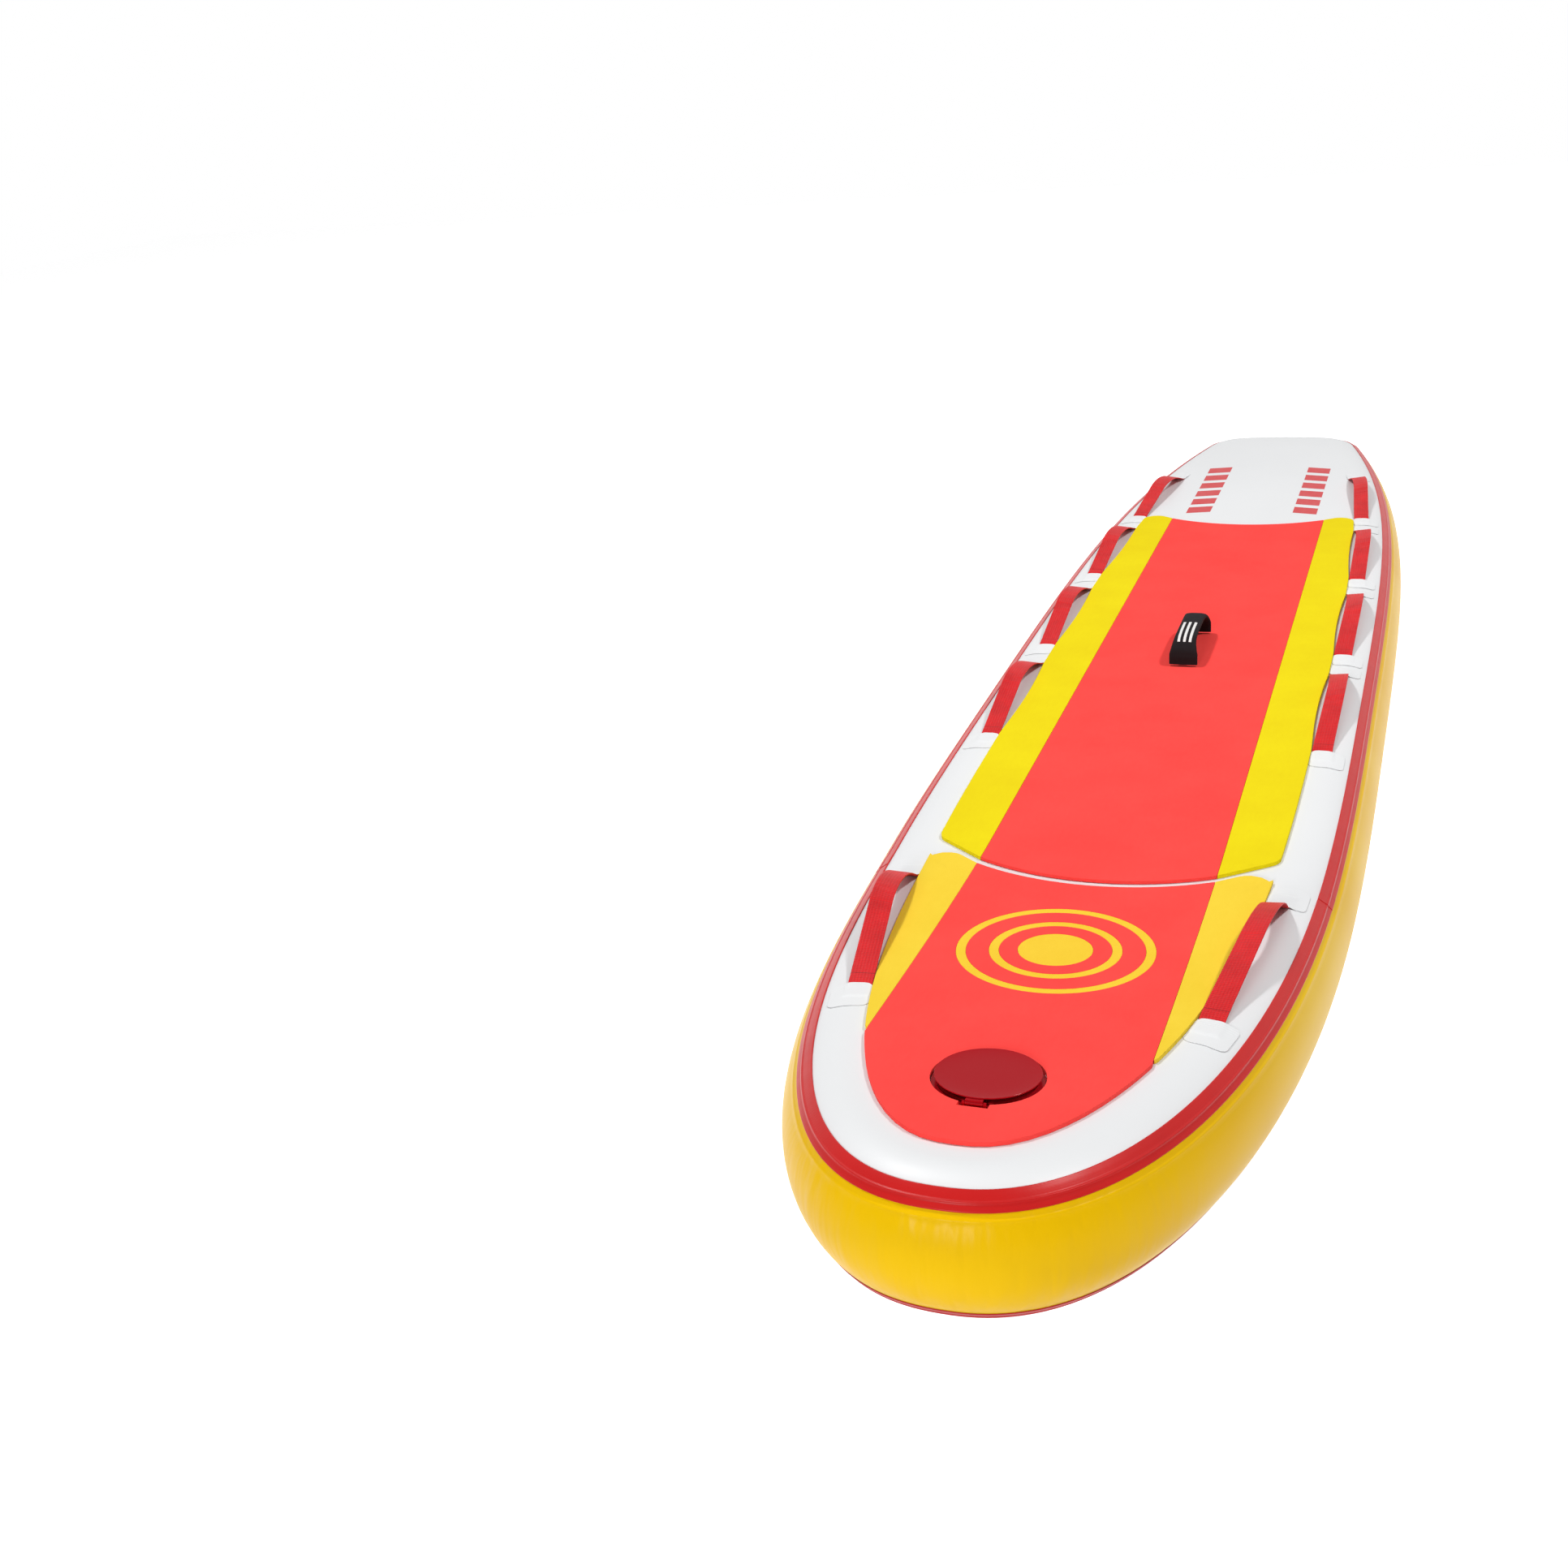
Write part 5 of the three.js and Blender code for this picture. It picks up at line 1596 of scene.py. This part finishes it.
@dataclass
class GrabHandle:
    """One webbing handle with its two welded patches."""

    form: HullForm
    finishes: Finishes
    side: Side
    number: int
    front: float
    span: float
    height: float
    front_patch: float
    rear_patch: float
    inset: float = 0.039
    width: float = 0.028
    thick: float = 0.002
    section_power: float = 6.0
    section_steps: int = 28
    line_steps: int = 6
    sharp_edge: float = 70.0
    gap: float = 0.0003
    tail: float = 0.033
    tail_end: float = 0.006
    foot: float = 0.001
    near_leg: float = 0.56
    near_shares: tuple[float, ...] = (0.08, 0.2, 0.4, 0.62, 0.82, 0.93)
    near_end: Spot = (1.03, 0.99)
    far_shares: tuple[Spot, ...] = (
        (0.04, 0.26),
        (0.10, 0.54),
        (0.18, 0.79),
        (0.26, 0.93),
        (0.33, 0.99),
    )
    lean: float = 0.005
    twist: float = 0.20
    lean_start: float = 0.004
    buried: float = 0.0009
    swell_start: float = 0.0008
    swell_end: float = 0.0038
    bend_start: float = 0.0028
    bend_end: float = 0.0120
    patch_start: float = 0.0022
    patch_wall: float = 0.0007
    patch_corner: float = 0.010
    patch_inner: float = 0.0537
    patch_outer: float = 0.007
    patch_rows: int = 44
    patch_columns: int = 40
    cover_half: float = 0.0165
    cover_extra: float = 0.0004
    cover_past: float = 0.002
    cover_soft: float = 0.0012
    lip_height: float = 0.0006
    lip_length: float = 0.003
    ridge_height: float = 0.00022
    ridge_pitch: float = 0.0042
    ridge_reach: float = 0.011

    def root(self, station: float) -> Vector:
        """The point on the deck where the webbing comes up.

        Args:
            station: The root's station on the seam line.

        Returns:
            The point.
        """
        s = self.form.seam(station)
        x, y = s.x - s.nx * self.inset, s.y - s.ny * self.inset
        return self.form.on_deck(x, self.side.value * y)

    def __post_init__(self) -> None:
        """Sets up the handle's own axes: along, across and up."""
        self.rear_root = self.root(self.front - self.span)
        self.front_root = self.root(self.front)
        chord = self.front_root - self.rear_root
        self.reach = chord.length
        self.along = chord.normalized()
        self.across = Vector((-self.along.y, self.along.x, 0)).normalized()
        self.up = self.along.cross(self.across)

    @property
    def name(self) -> str:
        """The handle's name in the CAD model."""
        return f"handle_{self.side.name.lower()}_{self.number}"

    def placed(self, s: float, h: float) -> Vector:
        """A point of the webbing's middle.

        Args:
            s: Distance along from the rear root.
            h: Height above the line between the roots.

        Returns:
            The point, which follows the deck beyond the roots.
        """
        point = self.rear_root + self.along * s + self.up * h
        if s < 0 or s > self.reach:
            point.z = self.form.thickness + self.form.rocker(point.x) + h
        return point

    def heights(self) -> list[Spot]:
        """Key points of the strap's line: a straight near leg, a flat top and a steeper far leg.

        Returns:
            Distances along from the rear root and heights.
        """
        level = self.gap + self.buried / 2
        start = level + self.thick
        leg = self.reach * self.near_leg
        end = (leg * self.near_end[0], self.height * self.near_end[1])
        rise = self.height - start
        near = [(self.foot, start), *[(leg * k, start + rise * k) for k in self.near_shares], end]
        far = [(self.reach * a, self.height * h) for a, h in self.far_shares]
        under = [(-self.tail, level), (-self.tail / 2, level), (-self.tail_end, level)]
        back = [(self.reach - s, h) for s, h in reversed([*under, *near])]
        return [*under, (self.foot, start), *far, *back]

    def build_strap(self) -> None:
        """One length of webbing, from under the rear patch over the hand gap to the front one."""
        line = smooth_line([Vector((s, h, 0)) for s, h in self.heights()], self.line_steps)
        out = self.side.value
        rows = []
        for i, here in enumerate(line):
            run = run_at(line, i)
            normal = self.up * run.x - self.along * run.y
            raised = share_of(here.y, self.lean_start, self.height)
            turn = self.twist * raised * out
            width = self.across * math.cos(turn) + normal * math.sin(turn)
            face = normal * math.cos(turn) - self.across * math.sin(turn)
            middle = self.placed(here.x, here.y) + self.across * (self.lean * out * raised)
            swell = share_of(here.y, self.swell_start, self.swell_end)
            thick = self.buried + (self.thick - self.buried) * swell
            section = soft_section(self.width, thick, self.section_power, self.section_steps)
            rows.append([middle + width * w + face * t for w, t in section])
        strap = lofted(f"{self.name}_strap", rows, Facing.CLOSED, sharp=self.sharp_edge)
        paths = strap.data.uv_layers.active.data
        total = max(corner.uv.y for corner in paths)
        for corner in paths:  # measured from the nearer end, so that both have a sewn line
            corner.uv = (corner.uv.x, min(corner.uv.y, total - corner.uv.y))
        dress(strap, self.finishes.webbing, "red_webbing", None, f"{self.name}_loop")
        middle = self.rear_root + self.along * (self.reach / 2)
        f"{self.name}_strap"
        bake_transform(strap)

    def patch_height(self, s: float, w: float) -> float:
        """Height of the patch's face above the deck at a distance out from the root and across.

        Args:
            s: Distance from the root, away from the hand gap.
            w: Distance from the webbing's middle line.

        Returns:
            The height.
        """
        over = 1 / (1 + math.exp((abs(w) - self.cover_half) / self.cover_soft))
        past = 1 / (1 + math.exp((s - self.tail - self.cover_past) / self.cover_soft))
        lift = (self.buried + self.cover_extra) * over * past
        lift += self.lip_height * over * math.exp(-max(s, 0) / self.lip_length)
        fade = max(0.0, 1 - abs(s - self.ridge_reach) / self.ridge_reach)
        ridges = self.ridge_height * fade * math.cos(math.tau * s / self.ridge_pitch)
        return self.gap + self.patch_wall + lift + ridges

    def rail_drop(self, inset: float) -> float:
        """How far the hull has fallen below the flat deck at a distance inside the seam line."""
        past = max(self.form.flat_reach - inset, 0.0) / self.form.rail_reach
        return self.form.thickness / 2 * (1 - math.sqrt(1 - past**2))

    def build_patch(self, end: str, away: int, station: float, root: Vector, length: float) -> None:
        """The white patch over the webbing's sewn end at one root.

        Args:
            end: Which end it is, front or rear.
            away: One at the front root, minus one at the rear root.
            station: The root's station on the seam line.
            root: The root.
            length: How far the patch reaches from the root.
        """
        middle = (self.patch_inner + self.patch_outer) / 2
        half = (self.patch_inner - self.patch_outer) / 2
        rows = []
        for i in range(self.patch_rows + 1):
            s = self.patch_start + (length - self.patch_start) * i / self.patch_rows
            seam = self.form.seam(station + away * s)
            short = max(self.patch_corner - min(s - self.patch_start, length - s), 0.0)
            cut = math.sqrt(max(self.patch_corner**2 - short**2, 0.0))
            narrowed = half - self.patch_corner + cut
            row = []
            for j in range(self.patch_columns + 1):
                inset = middle + narrowed * (1 - 2 * j / self.patch_columns)
                x, y = seam.x - seam.nx * inset, seam.y - seam.ny * inset
                point = Vector((x, self.side.value * y, 0))
                height = self.patch_height(s, (point - root).dot(self.across))
                deck = self.form.thickness + self.form.rocker(x)
                point.z = deck - self.rail_drop(inset) + height
                row.append(point)
            rows.append(row)
        patch = lofted(f"{self.name}_patch_{end}", rows, Facing.UP, wall=self.patch_wall)
        dress(patch, self.finishes.patch, "white_patch", "hull", f"{self.name}_base_{end}")

    def build(self) -> None:
        """Builds the strap and both patches."""
        self.build_strap()
        self.build_patch("front", 1, self.front, self.front_root, self.front_patch)
        self.build_patch("rear", -1, self.front - self.span, self.rear_root, self.rear_patch)


@dataclass
class CarryHandle:
    """The padded handle in the middle of the main pad."""

    finishes: Finishes
    front: float = 0.075
    rear: float = -0.088
    level: float = 0.1553
    height: float = 0.045
    width: float = 0.045
    thick: float = 0.0064
    grip_width: float = 0.034
    grip_thick: float = 0.011
    foot_power: float = 4.0
    grip_power: float = 2.6
    foot_keys: tuple[Spot, ...] = ((0.0, 0.0036), (0.0005, 0.017))
    grip_keys: tuple[Spot, ...] = ((0.03, 0.66), (0.12, 0.90), (0.28, 0.985), (0.5, 1.0))
    grip_start: float = 0.020
    line_steps: int = 7
    section_steps: int = 36
    sharp_edge: float = 70.0
    bars: tuple[float, ...] = (-0.009, 0.0, 0.009)
    bar_width: float = 0.0042
    bar_lift: float = 0.0003
    bar_wall: float = 0.0002

    def build(self) -> None:
        """Builds the sleeve from foot to foot."""
        span = self.front - self.rear
        crest = self.height - self.thick / 2
        rise = [*self.foot_keys, *[(span * a, crest * h) for a, h in self.grip_keys]]
        fall = [(span - s, h) for s, h in reversed(rise[:-1])]
        line = smooth_line([Vector((s, h, 0)) for s, h in [*rise, *fall]], self.line_steps)
        path, rows = [], []
        for i, here in enumerate(line):
            run = run_at(line, i)
            point = Vector((self.rear + here.x, 0, self.level + here.y))
            normal = Vector((-run.y, 0, run.x))
            raised = share_of(point.z - self.level, self.grip_start, crest)
            width = self.width + (self.grip_width - self.width) * raised
            thick = self.thick + (self.grip_thick - self.thick) * raised
            power = self.foot_power + (self.grip_power - self.foot_power) * raised
            section = soft_section(width, thick, power, self.section_steps)
            path.append((point, normal))
            rows.append([point + Vector((0, w, 0)) + normal * t for w, t in section])
        sleeve = lofted("carry_sleeve", rows, Facing.CLOSED, sharp=self.sharp_edge)
        dress(
            sleeve,
            self.finishes.sleeve,
            "black_sleeve",
            None,
            "carry_handle_sleeve",
            "carry_handle_webbing",
            "carry_handle_base_front",
            "carry_handle_base_rear",
        )
        self.bend(sleeve)
        front_half = slice(len(rows) // 2, len(rows) * 3 // 4)
        self.build_bars(rows[front_half], path[front_half])

    def bend(self, piece: Piece) -> None:
        """Bakes a piece's placement into its mesh."""
        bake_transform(piece)

    def build_bars(self, rows: Sequence[Row], path: Sequence[tuple[Vector, Vector]]) -> None:
        """Plain pale bars printed on the sleeve's front half.

        Args:
            rows: The sleeve's rows under the bars.
            path: The sleeve's middle points and normals there.
        """
        bm = bmesh.new()
        for place in self.bars:
            lines = [place + side * self.bar_width / 2 for side in (-1, 0, 1)]
            strip = []
            for row, (point, normal) in zip(rows, path):
                above = [p for p in row[:-1] if (p - point).dot(normal) > 0]
                marks = []
                for y in lines:
                    before = [p for p in above if p.y <= y]
                    after = [p for p in above if p.y >= y]
                    left = max(before, key=lambda p: p.y, default=above[0])
                    right = min(after, key=lambda p: p.y, default=above[-1])
                    share = (y - left.y) / max(right.y - left.y, SHORT_EDGE)
                    marks.append(left.lerp(right, share) + normal * self.bar_lift)
                strip.append(marks)
            loft_into(bm, strip, Facing.UP, wall=self.bar_wall)
        bars = finish_mesh(bm, "sleeve_print_bars")
        dress(bars, self.finishes.print_pale, "black_sleeve", None)
        self.bend(bars)


@dataclass
class Valve:
    """The cover flap over the inflation valve, and the valve's own parts."""

    finishes: Finishes
    seat: tuple[float, float, float] = (1.372, 0.0, 0.19183)
    tilt: float = 0.10163
    cover_radius: float = 0.0532
    cup: float = 0.0010
    cup_power: int = 5
    rim: float = 0.0069
    rim_round: float = 0.0003
    rim_reach: float = 0.0004
    wall: float = 0.0014
    cover_rings: int = 14
    cover_steps: int = 96
    merge_distance: float = 1e-6
    short_edge: float = 1e-7
    hinge_reach: float = 0.056
    hinge_height: float = 0.0041
    knuckle_radius: float = 0.002
    knuckle_half: float = 0.0087
    knuckle_steps: int = 24
    tab_place: tuple[float, float, float] = (0.054, 0.0, 0.0067)
    tab_size: tuple[float, float, float] = (0.006, 0.0174, 0.0022)
    spring_low: float = -0.0277
    spring_high: float = -0.0080
    spring_radius: float = 0.0049
    spring_wire: float = 0.0006
    spring_turns: int = 5
    turn_steps: int = 32
    wire_steps: int = 12
    plunger_travel: float = 0.004

    @property
    def place(self) -> Matrix:
        """The valve's own axes on the board."""
        return Matrix.Translation(self.seat) @ Matrix.Rotation(-self.tilt, 4, "Y")

    def seated(self, bm: Mesh, name: str) -> Piece:
        """Moves a mesh from the valve's own axes to the board and makes it a piece."""
        bmesh.ops.transform(bm, matrix=self.place, verts=bm.verts[:])
        return finish_mesh(bm, name)

    def cover_profile(self) -> list[Spot]:
        """Half the flap's section: a flat disc with its rim turned up a little.

        Returns:
            Radii and heights round the section, once.
        """
        turns = [math.pi / 2 * k / self.cover_rings for k in range(self.cover_rings + 1)]
        under = []
        for turn in turns:
            r = self.cover_radius * math.sin(turn)
            under.append((r, self.rim + self.cup * (r / self.cover_radius) ** self.cup_power))
        over = [(r, z + self.wall) for r, z in reversed(under)]
        edge = self.cover_radius + self.rim_reach
        low, high = under[-1][1] + self.rim_round, under[-1][1] + self.wall - self.rim_round
        return [*under, (edge, low), (edge, high), *over]

    def build_cover(self) -> None:
        """The glossy flap, turned from its section."""
        bm = bmesh.new()
        verts = [bm.verts.new((r, 0, z)) for r, z in self.cover_profile()]
        edges = [bm.edges.new(pair) for pair in zip(verts, [*verts[1:], verts[0]])]
        bmesh.ops.spin(
            bm,
            geom=[*verts, *edges],
            cent=(0, 0, 0),
            axis=(0, 0, 1),
            angle=math.tau,
            steps=self.cover_steps,
            use_merge=True,
        )
        bmesh.ops.remove_doubles(bm, verts=bm.verts[:], dist=self.merge_distance)
        bmesh.ops.dissolve_degenerate(bm, dist=self.short_edge, edges=bm.edges[:])
        bmesh.ops.recalc_face_normals(bm, faces=bm.faces[:])
        flap = self.seated(bm, "valve_cover")
        dress(flap, self.finishes.cover, "red_plastic", "valve_flap", "valve_cover_flap")

    def build_knuckle(self) -> None:
        """The flap's hinge knuckle and the tab that joins it to the flap."""
        bm = bmesh.new()
        axle = Matrix.Translation((self.hinge_reach, 0, self.hinge_height))
        bmesh.ops.create_cone(
            bm,
            cap_ends=True,
            segments=self.knuckle_steps,
            radius1=self.knuckle_radius,
            radius2=self.knuckle_radius,
            depth=2 * self.knuckle_half,
            matrix=axle @ Matrix.Rotation(math.pi / 2, 4, "X"),
        )
        tab = Matrix.Translation(self.tab_place) @ Matrix.Diagonal((*self.tab_size, 1))
        bmesh.ops.create_cube(bm, size=1.0, matrix=tab)
        knuckle = self.seated(bm, "valve_cover_knuckle")
        dress(knuckle, self.finishes.cover, "red_plastic", "valve_flap")

    def build_spring(self) -> None:
        """The plunger's spring: one fixed helix on the seat; the real one shortens as the plunger
        goes down.
        """
        low, high = self.spring_low + self.spring_wire, self.spring_high - self.spring_wire
        steps = self.spring_turns * self.turn_steps
        wire = []
        for k in range(self.wire_steps + 1):
            turn = math.tau * k / self.wire_steps
            out, rise = self.spring_wire * math.cos(turn), self.spring_wire * math.sin(turn)
            wire.append((self.spring_radius + out, rise))
        rows = []
        for i in range(steps + 1):
            turn = math.tau * self.spring_turns * i / steps
            c, s = math.cos(turn), math.sin(turn)
            middle = low + (high - low) * i / steps
            rows.append([Vector((reach * c, reach * s, middle + rise)) for reach, rise in wire])
        bm = bmesh.new()
        loft_into(bm, rows, Facing.CLOSED)
        spring = self.seated(bm, "valve_spring_wire")
        dress(spring, self.finishes.steel, "spring_steel", "hull", "valve_spring")
        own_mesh(spring)

    def dress_parts(self) -> None:
        """Gives the carried-over valve parts their finishes."""
        finishes = {
            "valve_body": self.finishes.black_plastic,
            "valve_lock_ring": self.finishes.gray_plastic,
            "valve_plunger": self.finishes.gray_plastic,
            "valve_cap": self.finishes.black_plastic,
            "valve_cover_base": self.finishes.cover,
        }
        for node, material in finishes.items():
            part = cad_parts[node]
            part.data.materials.clear()
            part.data.materials.append(material)

    def build(self) -> None:
        """Builds the cover, the knuckle and the spring and dresses the rest."""
        self.build_cover()
        self.build_knuckle()
        self.build_spring()
        self.dress_parts()


@dataclass
class Studio:
    """A white floor, three soft lamps and the camera."""

    eye: tuple[float, float, float] = (2.827, 0.3995, 1.1763)
    right: tuple[float, float, float] = (-0.339509, 0.936843, -0.084012)
    down: tuple[float, float, float] = (0.399462, 0.062746, -0.9146)
    ahead: tuple[float, float, float] = (-0.851565, -0.344075, -0.395536)
    focal_pixels: float = 2197.0
    frame_pixels: float = 1932.0
    sensor_width: float = 36.0
    near_clip: float = 0.05
    far_clip: float = 60.0
    lamp_aim: tuple[float, float, float] = (0.0, 0.0, 0.1)
    lamps: tuple[tuple[str, tuple[float, float, float], float, float], ...] = (
        ("lamp_port", (-0.1, 2.5, 4.4), 0.35, 112.0),
        ("lamp_starboard", (-0.1, -2.0, 4.4), 0.35, 112.0),
        ("lamp_nose", (5.3, -0.3, 1.6), 0.8, 95.0),
    )
    floor_half: float = 9.0
    floor_level: float = -0.001
    fill: float = 0.22

    def build_camera(self) -> None:
        """The camera of the photograph's right-hand view, with the board right of the middle."""
        data = bpy.data.cameras.new("view")
        data.sensor_fit = "HORIZONTAL"
        data.sensor_width = self.sensor_width
        data.lens = self.focal_pixels / self.frame_pixels * self.sensor_width
        data.clip_start, data.clip_end = self.near_clip, self.far_clip
        camera = bpy.data.objects.new("view", data)
        axes = Matrix((self.right, [-c for c in self.down], [-c for c in self.ahead])).transposed()
        camera.matrix_world = Matrix.Translation(self.eye) @ axes.to_4x4()
        bpy.context.scene.collection.objects.link(camera)
        bpy.context.scene.camera = camera

    def build_lamp(
        self, name: str, place: tuple[float, float, float], size: float, watts: float
    ) -> None:
        """One soft square lamp that looks at the board's middle.

        Args:
            name: The lamp's name.
            place: Where it hangs.
            size: Its side length.
            watts: Its power.
        """
        data = bpy.data.lights.new(name, "AREA")
        data.shape = "SQUARE"
        data.size = size
        data.energy = watts
        lamp = bpy.data.objects.new(name, data)
        lamp.location = place
        aim = Vector(self.lamp_aim) - Vector(place)
        lamp.rotation_euler = aim.to_track_quat("-Z", "Y").to_euler()
        bpy.context.scene.collection.objects.link(lamp)

    def build_floor(self) -> None:
        """A wide white floor just under the board."""
        bm = bmesh.new()
        bmesh.ops.create_grid(bm, x_segments=1, y_segments=1, size=self.floor_half)
        bmesh.ops.translate(bm, verts=bm.verts[:], vec=(0, 0, self.floor_level))
        floor = finish_mesh(bm, "studio_floor")
        floor.data.materials.append(StudioPaper().build())
        floor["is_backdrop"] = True

    def build_world(self) -> None:
        """A white surround for the camera and a softer one that lights the board."""
        world = bpy.data.worlds.new("studio")
        bpy.context.scene.world = world
        world.use_nodes = True
        tree = world.node_tree
        tree.nodes.clear()
        shares = {0: seen_ray(tree)}
        for socket, strength in ((1, self.fill), (2, 1.0)):
            light = {"Color": (1, 1, 1, 1), "Strength": strength}
            shares[socket] = add_node(tree, "ShaderNodeBackground", inputs=light).outputs[0]
        mix = add_node(tree, "ShaderNodeMixShader", inputs=shares)
        add_node(tree, "ShaderNodeOutputWorld", inputs={"Surface": mix.outputs["Shader"]})

    def build(self) -> None:
        """Builds the studio."""
        bpy.context.scene.view_settings.view_transform = "Standard"
        self.build_camera()
        for lamp in self.lamps:
            self.build_lamp(*lamp)
        self.build_floor()
        self.build_world()


# Front root, gap between the roots, height, front patch and rear patch of each handle of a side.
HANDLES: tuple[tuple[float, ...], ...] = (
    (1.192, 0.308, 0.036, 0.057, 0.057),
    (0.387, 0.306, 0.028, 0.057, 0.047),
    (-0.018, 0.306, 0.027, 0.047, 0.047),
    (-0.423, 0.306, 0.026, 0.047, 0.047),
    (-0.828, 0.306, 0.025, 0.047, 0.057),
)


def main() -> None:
    """Builds the board and its studio."""
    logging.basicConfig(level=logging.INFO, format="%(name)s: %(message)s")
    low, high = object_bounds()
    Studio().build()
    finishes = Finishes()
    form = HullForm()
    HullShell(form, finishes).build()
    DeckPads(form, finishes).build()
    for side in Side:
        for number, sizes in enumerate(HANDLES, 1):
            GrabHandle(form, finishes, side, number, *sizes).build()
    CarryHandle(finishes).build()
    Valve(finishes).build()
    made_low, made_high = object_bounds()
    sizes = {"cad": [list(low), list(high)], "visual": [list(made_low), list(made_high)]}


if __name__ == "__main__":
    main()
